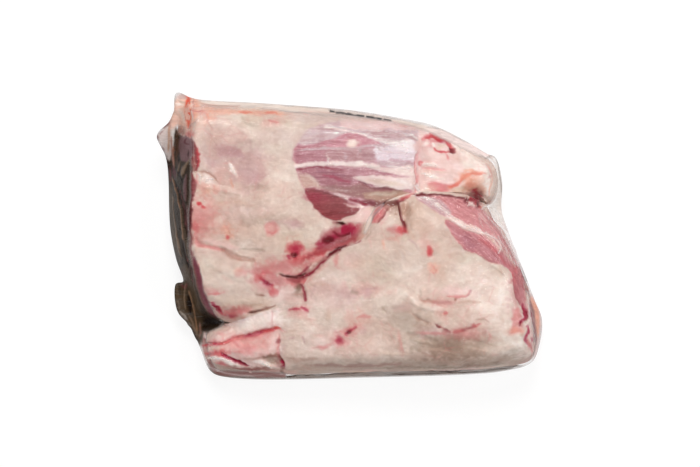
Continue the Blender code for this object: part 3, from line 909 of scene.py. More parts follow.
def mark_upper_ankle(c):
    """The ankle of the upper shank, to the right of its muscle."""
    c.draw("""
    patch pink_pale 419,130 430,127 452,135 480,149 494,160 497,190 492,206 470,198 440,195 413,194
        416,176 .9 4 muscle=0
    patch cream 456,152 480,156 492,168 495,190 488,202 476,192 460,188 466,172 .8 8
    spot white 468,149 24,10 .9 turn=-25
    spot white 487,184 10,22 .9
    spot white 474,166 13,8 .6
    spot white 462,152 12,4 .5 turn=-25
    stroke pink_red 420,150 417,160 416.5,170 418,179 416.5,188 413,194 2.4 .6 soft=1.8 rise=-.6
    stroke white 418,184 417.6,188 419.6,191 2.4 .85 rise=.4
    spot pink 421,146 5,7 .65
    stroke pink_red 422,139 426,136.6 432,135.4 438,138 445,138 3.6 .85 soft=2
    stroke red 427,138 432,136 440,139 446,140 450,145 454,150 4.6 .85 soft=2.2 rise=-.6
    spot crimson 442,142 5,2.6 .5 turn=-20
    spot blood_dark 452,150.3 3.2,2.2 .95 turn=-20 edge=.5 rise=-.6
    spot red 438,139.6 11,4.4 .5 turn=12
    patch pink_pale 431,142 440,142.6 447,146 450,151 442,151.6 435,148 .9 2.4 rise=.4
    spot cream_warm 441,147 6,2.6 .6 turn=24
    stroke red 430.5,142 433,146 437,150.4 444,152 451,151.6 1.8 .85 soft=1.4
    spot white 433,144.4 2,3.2 .9 turn=30 edge=.5
    spot white 426,143.4 3.4,1.8 .85 turn=25
    stroke red 445,152 447,156 448,159 2.4 .55 soft=2
    spot pink 457,156 8,3.6 .5 turn=-20
    stroke red 430.4,127 430.8,136 1.5 .5
    stroke pink_red 400,125 414,126.6 428,128 2.6 .45 soft=2
    spot red 421,163.4 1.7,2.6 .75 edge=.5
    stroke white 422,164 430,163.6 438,165.6 2.8 .85 rise=.5
    stroke pink_red 423,168 434,168.6 446,170 2.6 .45 rise=-.4
    stroke tan 421,170.6 436,171 450,173 2.4 .4
    stroke white 422,173.4 428,175.2 438,178 3.4 .9 rise=.5
    stroke cream_light 436,178 446,180 3.4 .6
    patch pink_red 429,184 436,182.4 448,184.6 458,183 452,189 444,193 432,191 .75 3.4
    spot cream_warm 430,189 6,3.4 .5
    spot cream_warm 458,190 8,3.6 .9
    spot olive_pale 462,189 5,2.6 .6
    stroke orange_red 486,174 477,173 469,175 462,179 457,184 449,187 3.4 .6 soft=2.6
    stroke white 482,177 474,176.4 467,178.6 2 .5
    stroke orange 462,174 468,171 478,171 2.4 .5
    spot orange 473,183 12,8 .75 turn=-30
    spot cream_light 482,181 6,5 .6
    spot orange_red 470,187 5,3.6 .5 turn=-30
    stroke orange 486,160 491,170 493,178 490,190 487,204 2.4 .5 soft=2.6
    stroke pink_red 487,164 492,174 488,178 1.6 .5
    stroke pink_red 478,211 484,209 489,204 2.4 .7""")


def mark_upper_edges(c):
    """The edges of the upper shank."""
    c.draw("""
    stroke orange 206,110 222,111.5 244,111.5 264,112 290,112.6 5 .5 soft=4.5
    stroke orange_red 238,111.5 246,112 251,112 3 .5 soft=3
    stroke orange_red 266,112.5 276,113 2 .5 soft=2
    stroke olive_pale 236,105 260,107 300,111 330,113 5 .5 soft=4
    spot orange 203,113 8,9 .75
    spot orange 186,108 14,18 .85
    stroke orange_red 186,100 188,110 188,124 4.6 .85 soft=3
    stroke orange_red 190,109 202,111 208,118 2 .5
    stroke pink 204,116 209,124 213,130 2 .5
    spot cream_light 198,124 5,10 .6
    spot tan 180,118 7,8 .6
    patch grey_pink 290,108 340,110 372,116 345,122 310,124 292,120 .7 6""")


def mark_upper_cut(c):
    """The big end, cut straight through the muscle, slopes down at the left under dark folds of film. Its
    dark is the cut muscle together with painted shade, for the end faces away from the light; the cream near
    194,118 is painted light on the slope.
    """
    # painted shade in the dark of the cut end, and painted light in the cream near 194,118
    c.draw("""
    patch cut_dark 150,136 176,134 186,140 191,152 193,170 192.5,200 190,235 193,262 199,284 206,304
        216,322 195,340 150,330 .97 3 muscle=0
    patch cut_red 184,135 190,138 196,146 199.5,158 199,168 195,172 190,160 186,148 .9 2.4 muscle=.9
    stroke tan 193,148 194,158 196,168 1.2 .6
    stroke tan 191,160 194,168 197,173 1.2 .5
    patch muscle_deep 188,170 194,174 196.5,184 196,192 193,200 192,226 189,228 187,200 .9 3 muscle=1
    patch hollow_black 186,176 190,178 191.5,200 191,224 186,228 182,200 .6 4 muscle=1
    stroke red 197,148 199,160 198,168 2 .7
    stroke pink_red 198,174 197,180 199,184 2 .5
    stroke muscle_deep 190,232 191,250 196,270 202,290 208,306 216,318 3.6 .8 soft=2.4
    stroke red 196,262 198,268 3 .6
    spot cream_light 194,118 10,18 .9
    spot orange 182,124 9,9 .6
    spot red 188,134 5,3 .5""")


def mark_upper_under(c):
    """The side that the pack lies on: the same fat cover, with the muscle bare along the shin."""
    c.face = 1 - c.over
    c.draw("""
    spot cream_light 250,150 60,40 .5
    patch muscle_mid 255,190 300,172 360,168 410,172 412,182 370,192 320,206 268,214 .95 4 rise=-.8
        muscle=1
    stroke tendon 262,200 320,188 410,176 3 .8 rise=.4
    spot mauve 230,240 36,24 .6
    spot pink 215,160 24,40 .5
    stroke crimson 240,262 252,268 258,276 3 .7 soft=3
    patch cut_dark 150,100 180,110 184,160 184,230 200,300 180,330 150,330 .9 6 muscle=.9""")
    c.face = c.over


# ------------------------------------------------------------------ the lower shank
LOWER_FIBRES = ((425, 190), (450, 208), (480, 228), (505, 250), (519, 275), (526, 310), (532, 360))


def mark_lower_fat(c):
    """The fat of the lower shank, with its folds and stains, and painted shade in its hollows, creases, along
    the seam and on its bottom roll, with painted highlights on a pale ridge.
    """
    # painted shade: the browns and olive greys in the hollow near 408,320 and low down near y 340-350, over
    # the fat's own tone; painted highlights: the whites on the ridge near 410-434,298-309
    c.draw("""
    spot cream 430,290 80,34 .45
    spot cream 330,305 34,22 .6
    spot cream_light 304,325 13,12 .6
    spot pink_pale 330,295 26,14 .5
    spot tan 414,222 14,18 .7
    spot cream_light 388,222 10,12 .6
    spot cream_light 432,222 8,10 .4
    spot cream 380,250 22,10 .4
    spot tan 443,266 8,22 .5
    spot cream_light 418,280 18,10 .7
    spot cream_light 470,272 24,18 .6
    spot cream_light 492,296 24,34 .9
    spot white 492,300 20,30 .45
    spot white 513,348 24,18 .97
    spot olive_pale 466,258 14,6 .6
    spot olive_pale 498,270 8,6 .5
    stroke brown_grey 490,266 498,271 504,275 1.8 .5
    spot tan 322,268 10,5 .5
    spot grey_pink 328,270 14,6 .5
    spot mauve 326,288 16,5 .4
    spot mauve 342,302 14,6 .4
    spot pink 352,262 12,7 .45
    spot mauve 355,256 8,4 .35
    spot olive_pale 372,262 16,8 .5
    spot olive_pale 384,276 14,8 .4
    spot pink 366,290 20,6 .6
    spot mauve_dark 368,292 7,4 .55
    stroke mauve_dark 366,289 374,288 380,290 2.2 .5
    spot mauve_dark 347,294 9,5 .4
    spot brown_grey 351.5,292 1.8,1.8 .7
    spot brown_grey 355.5,293 1.6,1.8 .6
    stroke cream_light 405,293 411,297 417,303 430,308 446,311 6 .8 soft=4 rise=.8
    stroke white 411,298 416,302 3 .6
    spot white 434,309 6,2.6 .5
    spot olive_grey 410,322 28,16 .42 turn=-12 rise=-.6
    spot brown_grey 404,318 14,12 .3 turn=-20
    stroke brown_grey 382,307 386,312 389,318 1.8 .5
    stroke brown 411,311 417,317 424,322 430,326 3 .35 soft=3 rise=-.6
    spot mauve 403,308 9,4 .5
    stroke pink 399,330 400,338 401,348 404,358 5 .75 soft=3
    stroke pink_red 400,338 402,346 404,352 2.2 .45 soft=2
    spot cream_light 372,344 24,12 .6
    spot pink_pale 330,340 22,10 .5
    spot olive_grey 428,340 22,10 .55
    spot brown_grey 453,346 42,14 .7
    spot brown_cold 452,350 24,10 .5
    spot brown_cold 455,338 9,7 .5
    spot olive_grey 500,345 22,12 .4
    spot grey_pink 515,334 8,8 .4""")
    # painted shade in the hollows of the folds on the bottom roll, and painted light on their ridges
    for start, end in (
        ((408, 333), (436, 341)), ((420, 344), (452, 350)), ((432, 352), (470, 357)),
        ((470, 340), (496, 346)),
    ):
        c.stroke("brown_cold", (start, end), 2.4, 0.3, soft=2.4, rise=-0.3)
    for start, end in (
        ((412, 338), (436, 346)), ((424, 349), (456, 354)), ((462, 346), (492, 352)),
        ((380, 352), (410, 355)),
    ):
        c.stroke("cream_warm", (start, end), 2.2, 0.35, soft=2.4, rise=0.3)
    # painted shade: the browns along the seam near 367,228 and in and beside the crease near 400,215
    c.draw("""
    stroke brown 362,236 367,229 370.5,218 371,208 2.6 .45 soft=3
    stroke brown_grey 365,238 369,233 371,228 2 .5
    patch rosy 379,207 389,206 385,215 378,223 371.5,223 373,216 .85 3
    stroke red 384,208 380,215 375,221 3 .7 soft=2.4
    stroke cut_red 381,207 376,213 371.6,221 1.3 .6 soft=1.4
    stroke cut_red 388.5,207 384,216 377,224 1.5 .8 soft=1.2
    stroke pink_pale 390.5,209 386,218 380,226 2.2 .8 rise=.5
    stroke tendon 385,208 380,216 376,221 1.6 .45 rise=.3
    stroke blood_dark 392,203 397,202 400,205 3.4 .8 soft=2
    spot brown_warm 405,208 7,7 .75
    stroke blood_dark 398.5,200 400,208 401,216 403,224 404.5,230 2.4 .85 soft=2 rise=-.9
    stroke hollow_black 399,200 400.2,208 401,215 1.3 .6 soft=1.2
    stroke cut_red 402,219 405,225 404,232 4.6 .8 soft=2.4
    spot rosy 397,229.6 8,4 .8 turn=-8
    spot red 402,230 4,3.4 .7
    spot olive_pale 404,238 3.4,2.6 .7
    stroke tan 408,230 412,236 414,240 2 .6
    stroke brown_grey 410,225 413,233 1.5 .4
    stroke pink 370,239 371,247 2.4 .5
    stroke orange 382,240 383.5,248 3 .45
    spot pink 392,238.6 6,1.8 .6
    stroke mauve_dark 408,240 414,244 418,250 1.5 .5
    spot pink 423,243 5,4.4 .5""")


def mark_lower_spots(c):
    """Small spots and lines on the lower shank."""
    c.draw("""
    spot pink 429,250 6,8 .5
    spot red 429.3,252 2.8,4.4 .8 edge=.6
    spot orange 433.5,269 4.8,4.6 .45
    stroke pink_red 432,265.6 434,268 436,270 434,272.6 430.6,271 1.4 .6
    spot brown 455.5,299.6 1.7,1.6 .85 edge=.5
    spot red 445.3,313.5 2.2,1.8 .85 edge=.5
    spot pink 444,314 6,5.4 .55
    spot pink_pale 455,292 16,5 .8
    stroke pink_red 446,296.6 456,297 466,296.6 470.6,291 1.9 .6
    stroke mauve_dark 466,297 470,294 471,290 1.5 .55
    stroke brown 419.5,296.6 424,301 433,301.6 440,304 449,303 2.4 .45 soft=3 rise=-.4
    spot mauve_dark 443,303.6 7,1.8 .4
    stroke brown_grey 420,289 422,295 2 .4
    stroke tan 454,304 466,302 482,301 2.2 .6
    spot pink_red 445,303 12,4 .25
    spot pink_red 462,333 16,6 .45
    spot mauve 434,333 16,5 .55
    stroke pink_red 418,333 430,334 446,334 3.4 .4 soft=3
    stroke blood_dark 434.6,324 437.6,326.6 441,328.4 3.4 .8 soft=2.8 rise=-.4
    stroke cut_red 440,328 445,329.6 451,332.4 3.4 .6 soft=3.4 rise=-.3
    stroke red 451,333 457,331.4 463,331 2 .4 soft=2
    stroke cut_red 462,330.4 468,328.6 474,326 3 .6 soft=3.2 rise=-.3
    stroke red 472,326.6 480,323.6 2.2 .5 soft=2
    spot red 351,330 7,4.4 .45 turn=30
    stroke crimson 346.6,333.6 350,331 355,327.4 4.4 .9 soft=2.2
    spot blood_dark 349.4,332 2.8,1.8 .9 turn=30 edge=.5
    spot pink_red 339.5,340 6.4,5.6 .5
    spot crimson 339.5,340 3.4,3.4 .6 edge=.7
    spot mauve 363,331 3,4 .6
    stroke pink_red 357,318 363,316.6 369,317 3.4 .6 soft=3
    spot pink 362,320 8,5 .45
    spot pink 349,319 5,6 .5
    stroke pink_red 314,347 322,346.4 330,344 3.6 .5 soft=3
    stroke pink 314,335 324,335 3 .5 soft=3
    stroke crimson 289,310 294,309.4 298.6,309 3.2 .9 soft=2
    stroke crimson 301,307 305,309 308,311 3.4 .9 soft=2
    spot blood 294,309.4 3,1.4 .5
    spot pink_red 298,310 12,4 .4
    stroke pink 283,316 300,317 312,319 4 .35 soft=3
    spot tan 327.5,316 3.2,4 .8
    stroke mauve_dark 302.6,337 304.6,342 307.4,345 1.8 .7
    stroke mauve_dark 289,339 294,337 1.8 .45
    stroke tan 282,333 300,329 1.6 .4
    stroke tan 309,286 318,284 330,286 3 .4 soft=3
    stroke mauve 311,296 314,290 316,284 2 .5
    spot pink_red 336,261 2.8,5 .5
    stroke pink_red 487,331 491,337 488,343 2.4 .35 soft=2
    stroke brown_grey 476,320 483,319.4 488,321 2 .5""")


LOWER_MUSCLE = (
    (445, 221), (450, 220.5), (463, 229), (480, 234), (490, 240), (500, 249), (509, 257), (516, 266),
    (522, 278), (526, 292), (528.5, 306), (526, 313), (521, 307), (517, 299), (514, 289), (513, 277),
    (510, 269.5),
    (503, 265), (497, 263.6), (488, 261.4), (480, 256), (471, 252.4), (464, 248.6), (458, 242), (452, 234),
)


def mark_lower_muscle(c):
    """The bare muscle of the lower shank, at its right, with painted highlights in white flecks along its
    sinew.
    """
    c.draw("""
    patch muscle_pink 417,196 445,196 466,200 483,209 497,222 510,241 521,262 529,290 524,290 514,262
        500,247 484,235 462,227 446,217 430,207 .97 2.6 rise=-.5 muscle=1""")
    c.patch("muscle_pink", LOWER_MUSCLE, 1.0, 2.0, rise=-0.8, muscle=1)
    # painted highlights: the white strokes near 427,198 and 460,224 and the white spot near 482,233
    c.draw("""
    patch lavender 416,196 432,197 442,203 452,212 444,215 432,208 .8 3
    stroke white 420,197 427,197.6 434,200 2.2 .6
    stroke tendon 436,203 446,212 452,217 3.6 .5
    patch muscle_mid 447,223 462,230 478,236 490,242 503,254 512,264 510,268 498,262 486,258 474,250
        460,240 .45 4
    patch purple 463,237 470,238 475,246 472,251.6 465,248 .3 8
    stroke red 478,238 490,246 502,257 510,266 4 .4 soft=4
    stroke muscle_deep 480,256 488,260.6 497,262.6 2 .5
    stroke tendon 446,216 456,221 466,226 478,231 486,234.4 6 .97 soft=1.8 rise=.5 muscle=.1
    stroke white 450,219 460,223.6 470,228 2.8 .7
    stroke pink_pale 484,233.6 492,239 499,246 503,251 2.4 .9 rise=.3
    spot white 482.4,233 2.2,1.8 .9 edge=.5
    spot muscle_red 519,284 7,22 .45 turn=-12
    spot red 516,272 5,10 .4
    stroke muscle_deep 514,286 516.4,296 520,305 1.6 .5
    stroke pink_pale 480,212 494,232 508,252 516,266 2 .4
    patch cut_red 526,284 531,292 537,310 541,330 540,356 530,366 534,350 532,330 530,308 .85 3 muscle=.6
    stroke pink_pale 528.6,294 530,312 531,332 533,350 3.4 .85 soft=2 muscle=.2
    patch pink_red 514,311 519,309 524,318 523,330 516,334 508,333 512,326 .55 4
    stroke crimson 523,305 525.6,311 524.6,317 521.6,323 6.4 .97 soft=2.2
    stroke blood 521.6,322 520,327 4 .9 soft=1.6
    stroke blood 526.6,309 527.4,317 524,322 2 .8
    stroke white 520,313 523,317 521,320 1.7 .85 rise=.4
    stroke white 523,321 526,325 528,321.6 1.6 .8 rise=.4
    stroke pink_pale 518,326 523,329 527,327 2.2 .8
    spot orange 515,331 8,3.4 .5
    stroke crimson 528,326 529,332 526,339 529,346 2.6 .8 soft=1.8
    stroke red 528,340 531,348 533,357 3 .6 soft=2
    stroke crimson 532,338 532.4,342 2.4 .7
    stroke orange 530.6,297 534,308 536.6,320 537.6,333 537,345 5 .9 soft=2.2
    stroke blood 530.6,302 532.6,318 534.4,330 536,345 1.7 .85
    spot cream 526,352 5,6 .5
    spot cream 508,349 16,9 .5""")


def mark_lower_ankle(c):
    """The ankle of the lower shank, at its left, with a painted highlight and painted shade in a small
    hollow.
    """
    # painted highlight: the white near 280,350; painted shade: the browns in the hollow near 273-279,360
    c.draw("""
    patch pink_pale 200,330 225,320 255,313 276,308 282,345 280,380 210,378 197,352 .85 14
    spot white 240,325 36,8 .6 turn=12
    spot white 262,322 22,8 .4 turn=12
    spot lavender 232,320 20,4 .4 turn=14
    spot pink 214,331 14,6 .75 turn=20
    spot cream_light 244,329 20,5 .5 turn=12
    spot pink_red 219,332 3,2 .4
    stroke pink_red 203,345 222,343 242,338 262,333 280,329 6.4 .55 soft=5
    stroke red 204,344.6 213,344 223,342.6 235,339 250,335 262,332 280,328.6 3 .95 soft=1.8 rise=-1.3
    stroke crimson 210,344.4 219,344 3 .7 soft=1.6
    stroke crimson 243,337 252,335 262,332.4 2.6 .9 soft=1.4
    spot cream_warm 214,348.6 9,2.4 .8
    spot rosy_light 243,345 24,9 .85
    spot pink_red 248,350 6,5 .4
    stroke pink_red 232,340 236,344 240,348 2.6 .35
    spot red 214,353 12,2.8 .75
    spot pink_red 216,354 14,4 .5
    stroke white 206,357 214,358 223,359.6 233,364 245,367 3.4 .9 rise=.4
    stroke crimson 221,353.6 228,358 236,362 249,366 3 .95 soft=1.5 rise=-1.1
    stroke blood 229,358.8 238,362.8 249,366 2 .8
    stroke red 214,363 222,364 230,367 3 .6 soft=2
    stroke brown 245,359 256,359.4 264,358 2.2 .45 soft=2
    stroke brown 264,358 270,355.6 276,355 280,358 282.6,364 3.4 .85 soft=2
    spot brown_grey 273,360.6 7,3.6 .85 edge=.7 rise=-1
    spot muscle_brown 279,361 2.6,4.4 .6
    stroke white 252,361.6 262,362.6 272,366.6 279,368.6 4.2 .85 soft=1.8 rise=.2
    spot white 267,364.6 3,1.8 .95
    stroke cut_red 279,357 282.6,363 282,371 280.4,378 3 .75 rise=-.9
    spot crimson 282,362 1.8,1.8 .9 edge=.5
    spot crimson 282.4,367 1.8,2 .9 edge=.5
    stroke pink_red 278.6,334 278.4,346 279,356 2.2 .5 rise=-.5
    spot cut_red 278.2,341 2.8,2.2 .6 edge=.6
    stroke white 280,347 280,352 2.4 .95 rise=.4
    stroke pink_red 273,310 272.4,322 273.4,330 1.4 .35
    stroke orange_red 272,328.4 277,328 281,329 1.8 .7""")


def mark_lower_edges(c):
    """The edges of the lower shank, with painted shade in brown bands down its bottom roll and a painted
    shadow line at its foot.
    """
    # painted shade: brown bands where the bottom of the fat rolls away from the light
    c.draw("""
    stroke brown_grey 205,372 240,373 280,374 330,370 400,367 470,364 520,360 13 .6 soft=9
    stroke brown_cold 210,373 280,375.5 350,372 400,369.6 450,369 490,366 510,364 5.5 .7 soft=4
    stroke shank_brown 208,366 220,370.4 245,371.4 280,372 8 .9 soft=4
    stroke brown 285,358 300,360 320,358 5 .3 soft=4
    stroke muscle_brown 310,366 350,366 400,364 3 .4 soft=3""")
    c.face = c.over * c.low
    # a painted shadow line where the meat meets the film below it
    c.draw("""
    stroke cut_dark 210,374 250,376.5 283,377 350,374 380,371.6 400,371 450,371.6 470,369 500,366.6
        516,365 2.2 .85 soft=1.8 taper=0""")
    c.face = c.over
    c.draw("""
    stroke blood 330,254 343,247 360,240 1.6 .8
    stroke pink 306,282 316,272 328,264 4 .5 soft=3""")


def mark_lower_under(c):
    """What shows of the underside of the lower shank."""
    c.face = 1 - c.over
    c.draw("""
    spot cream_light 400,300 80,40 .5
    patch muscle_mid 300,330 350,312 420,300 470,292 480,306 430,322 360,340 306,346 .95 4 rise=-.8
        muscle=1
    stroke tendon 300,338 380,320 476,298 3 .8 rise=.4
    spot pink 240,350 34,20 .6
    spot mauve 450,250 34,22 .55
    stroke crimson 392,262 404,268 410,276 3 .7 soft=3
    patch muscle_pink 500,240 540,280 548,350 520,350 514,290 .8 6 muscle=1""")
    c.face = c.over


# ------------------------------------------------------------------ materials
def new_material(name):
    material = bpy.data.materials.new(name)
    material.use_nodes = True
    tree = material.node_tree
    tree.nodes.clear()
    return material, tree


def add_node(tree, kind, links=None, **settings):
    """A shader node with its settings, and each of its inputs either set or linked."""
    node = tree.nodes.new(kind)
    for key, value in settings.items():
        setattr(node, key, value)
    for socket, value in (links or {}).items():
        if isinstance(value, bpy.types.NodeSocket):
            tree.links.new(value, node.inputs[socket])
        else:
            node.inputs[socket].default_value = value
    return node


def read(tree, name, output="Fac"):
    return add_node(tree, "ShaderNodeAttribute", attribute_name=name).outputs[output]


def number(tree, operation, first, second=0.5, third=0.0):
    made = add_node(tree, "ShaderNodeMath", {0: first, 1: second, 2: third}, operation=operation)
    return made.outputs[0]


def between(tree, value, low, high, new_low=0.0, new_high=1.0):
    made = add_node(
        tree, "ShaderNodeMapRange",
        {"Value": value, "From Min": low, "From Max": high, "To Min": new_low, "To Max": new_high},
    )
    return made.outputs[0]


def mix_colour(tree, share, first, second, blend="MIX"):
    made = add_node(tree, "ShaderNodeMix", data_type="RGBA", blend_type=blend)
    for socket, value in ((0, share), (6, first), (7, second)):
        if isinstance(value, bpy.types.NodeSocket):
            tree.links.new(value, made.inputs[socket])
        else:
            made.inputs[socket].default_value = value
    return made.outputs[2]


def noise_node(tree, vector, scale, detail=3.0, roughness=0.5, distortion=0.0):
    settings = {
        "Vector": vector, "Scale": scale, "Detail": detail, "Roughness": roughness, "Distortion": distortion,
    }
    return add_node(tree, "ShaderNodeTexNoise", settings).outputs["Fac"]


def bumped(tree, height, strength, distance):
    settings = {"Strength": strength, "Distance": distance, "Height": height}
    return add_node(tree, "ShaderNodeBump", settings).outputs[0]


def stretched(tree, vector, factors):
    return add_node(tree, "ShaderNodeVectorMath", {0: vector, 1: factors}, operation="MULTIPLY").outputs[0]


def rgb(name):
    return (*linear(paint_of(name)), 1.0)


# What the paint is multiplied by on the crowns of the mottle, on the pale fibres, and in the painted glints
# of the muscle.
LIGHTER_FAT = (1.3, 1.42, 1.5, 1.0)
LIGHTER_FLESH = (1.6, 2.3, 2.1, 1.0)


def meat_material(name):
    """Fat with a mottle, stains and capillaries, and muscle with long wet fibres and painted glints."""
    material, tree = new_material(name)
    place = add_node(tree, "ShaderNodeTexCoord").outputs["Object"]
    muscle, paint = read(tree, "muscle"), read(tree, "paint", "Color")
    drawn = stretched(tree, place, (0.8, 1.0, 1.0))
    along = stretched(tree, read(tree, "fibre", "Vector"), (0.05, 0.9, 0.5))
    fibre = noise_node(tree, along, 1.0, 5.0, 0.62, 0.5)
    clouds = noise_node(tree, drawn, 62.0, 4.0, 0.6, 0.6)
    stains = noise_node(tree, drawn, 150.0, 3.0, 0.6, 1.2)
    fine = noise_node(tree, drawn, 520.0, 4.0, 0.65, 0.4)
    grain = noise_node(tree, place, 1500.0, 2.0, 0.6)
    veins = add_node(
        tree, "ShaderNodeTexVoronoi",
        {"Vector": drawn, "Scale": 120.0, "Randomness": 1.0}, feature="DISTANCE_TO_EDGE",
    ).outputs["Distance"]
    vein_share = number(
        tree, "MULTIPLY", between(tree, veins, 0.0, 0.05, 0.22, 0.0), between(tree, clouds, 0.5, 0.62)
    )
    fat = mix_colour(tree, between(tree, clouds, 0.4, 0.66, 0.0, 0.34), paint, rgb("pink_shadow"), "MULTIPLY")
    fat = mix_colour(tree, between(tree, clouds, 0.5, 0.28, 0.0, 0.22), fat, LIGHTER_FAT, "MULTIPLY")
    fat = mix_colour(tree, between(tree, stains, 0.52, 0.72, 0.0, 0.12), fat, rgb("grey_shadow"), "MULTIPLY")
    fat = mix_colour(tree, between(tree, stains, 0.46, 0.3, 0.0, 0.2), fat, LIGHTER_FAT, "MULTIPLY")
    fat = mix_colour(tree, between(tree, fine, 0.42, 0.7, 0.0, 0.16), fat, rgb("grey_shadow"), "MULTIPLY")
    fat = mix_colour(tree, between(tree, fine, 0.45, 0.3, 0.0, 0.22), fat, LIGHTER_FAT, "MULTIPLY")
    fat = mix_colour(tree, vein_share, fat, rgb("pink_red"))
    shadow = rgb("muscle_shadow")
    flesh = mix_colour(tree, between(tree, fibre, 0.52, 0.32, 0.0, 0.5), paint, shadow, "MULTIPLY")
    flesh = mix_colour(tree, between(tree, fibre, 0.55, 0.72, 0.0, 0.4), flesh, LIGHTER_FLESH, "MULTIPLY")
    flesh = mix_colour(tree, between(tree, stains, 0.5, 0.7, 0.0, 0.25), flesh, shadow, "MULTIPLY")
    flesh = mix_colour(tree, between(tree, fine, 0.5, 0.7, 0.0, 0.35), flesh, LIGHTER_FLESH, "MULTIPLY")
    # painted glints: small pale flecks of wet shine on the muscle
    specks = noise_node(tree, place, 950.0, 2.0, 0.5)
    flesh = mix_colour(tree, between(tree, specks, 0.60, 0.68, 0.0, 0.4), flesh, LIGHTER_FLESH, "MULTIPLY")
    body = mix_colour(tree, muscle, fat, flesh)
    body = mix_colour(tree, between(tree, grain, 0.45, 0.75, 0.0, 0.12), body, rgb("grey_shadow"), "MULTIPLY")
    relief = number(
        tree, "ADD",
        number(tree, "MULTIPLY", fibre, number(tree, "MULTIPLY", muscle, 1.4)),
        number(tree, "MULTIPLY_ADD", fine, 0.3, number(tree, "MULTIPLY", stains, 1.3)),
    )
    bump = bumped(tree, relief, 0.6, 0.0008)
    shader = add_node(
        tree, "ShaderNodeBsdfPrincipled",
        {
            "Base Color": body,
            "Roughness": between(tree, muscle, 0.0, 1.0, 0.55, 0.42),
            "Subsurface Weight": 0.08,
            "Subsurface Radius": (1.0, 0.42, 0.26),
            "Subsurface Scale": 0.0014,
            "Specular IOR Level": 0.08,
            "Normal": bump,
        },
    )
    tree.links.new(shader.outputs[0], add_node(tree, "ShaderNodeOutputMaterial").inputs[0])
    return material


def film_material(name):
    """Thin clear plastic: see-through, glossy in its folds, and hazy or stained where its cover says."""
    material, tree = new_material(name)
    place = add_node(tree, "ShaderNodeTexCoord").outputs["Object"]
    along = stretched(tree, place, (60.0, 620.0, 260.0))
    creases = noise_node(tree, along, 1.0, 4.0, 0.55, 0.8)
    dimples = noise_node(tree, place, 240.0, 3.0, 0.6, 0.6)
    height = number(tree, "MULTIPLY_ADD", creases, 0.8, dimples)
    bump = bumped(tree, height, 0.55, 0.0006)
    cover = read(tree, "cover")
    hazy = number(tree, "MULTIPLY", cover, between(tree, creases, 0.3, 0.7, 0.86, 1.25))
    body = add_node(
        tree, "ShaderNodeBsdfPrincipled",
        {
            "Base Color": read(tree, "paint", "Color"), "Roughness": 0.4, "Specular IOR Level": 0.04,
            "Normal": bump,
        },
    ).outputs[0]
    clear = add_node(tree, "ShaderNodeBsdfTransparent").outputs[0]
    gloss = add_node(tree, "ShaderNodeBsdfGlossy", {"Roughness": 0.09, "Normal": bump}).outputs[0]
    facing = add_node(tree, "ShaderNodeLayerWeight", {"Blend": 0.25, "Normal": bump}).outputs["Fresnel"]
    shine = between(tree, facing, 0.0, 1.0, 0.010, 0.10)
    coated = add_node(tree, "ShaderNodeMixShader", {0: shine, 1: clear, 2: gloss}).outputs[0]
    both = add_node(tree, "ShaderNodeMixShader", {0: hazy, 1: coated, 2: body}).outputs[0]
    tree.links.new(both, add_node(tree, "ShaderNodeOutputMaterial").inputs[0])
    return material


def floor_material(name):
    """A pale floor that glows a little, so that shadows on it stay soft."""
    material, tree = new_material(name)
    place = add_node(tree, "ShaderNodeTexCoord").outputs["Object"]
    grain = noise_node(tree, place, 3.0, 2.0)
    shader = add_node(
        tree, "ShaderNodeBsdfPrincipled",
        {
            "Base Color": mix_colour(tree, grain, (0.20, 0.20, 0.20, 1), (0.21, 0.21, 0.21, 1)),
            "Roughness": 0.9,
            "Specular IOR Level": 0.1,
            "Emission Color": (1, 1, 1, 1),
            "Emission Strength": 0.83,
        },
    )
    tree.links.new(shader.outputs[0], add_node(tree, "ShaderNodeOutputMaterial").inputs[0])
    return material


# ------------------------------------------------------------------ pieces
def make_shank(name, form):
    insets = [EDGE["top_roll"] * (1 - math.cos(math.radians(a))) for a in ROLL_ANGLES]
    rows = sorted((*BORDER_ROWS, *insets))
    obj = skin_between(name, form.loop, inner_points(form.loop, rows, FORM_STEP), form.top, form.foot)
    apply_modifier(obj, "REMESH", mode="VOXEL", voxel_size=MEAT_VOXEL * MM)
    apply_modifier(obj, "SMOOTH", factor=0.5, iterations=5)
    thin_out(obj, MEAT_FACES)
    shade_smooth(obj)
    return obj


def fill_groove(obj, film_top):
    """Raises the shank's top along the border, so that the two shanks meet flush under the film."""
    points, up = points_of(obj), normals_of(obj)[:, 2]
    border = evenly(spline(BORDER, False), FORM_STEP)
    near = 1 - smooth_step(distance_to_line(points[:, :2], border), 2.0, 4.5)
    gap = film_top(points[:, :2]) - FILM_GAP - points[:, 2]
    shallow = (1 - smooth_step(gap, 3.0, 5.5)) * smooth_step(up, -0.5, 0.0)
    points[:, 2] += GROOVE_FILL * near * shallow * np.maximum(gap, 0)
    set_points(obj, points)


def thin_out(obj, most):
    """Drops faces, on the underside only, until no more than the given number of triangles are left."""
    under = obj.vertex_groups.new(name="under")
    down = (normals_of(obj)[:, 2] < -0.1).nonzero()[0]
    under.add(down.tolist(), 1.0, "REPLACE")
    obj.data.calc_loop_triangles()
    share = most / len(obj.data.loop_triangles)
    if share < 1:
        apply_modifier(obj, "DECIMATE", ratio=share, vertex_group="under", vertex_group_factor=1000.0)


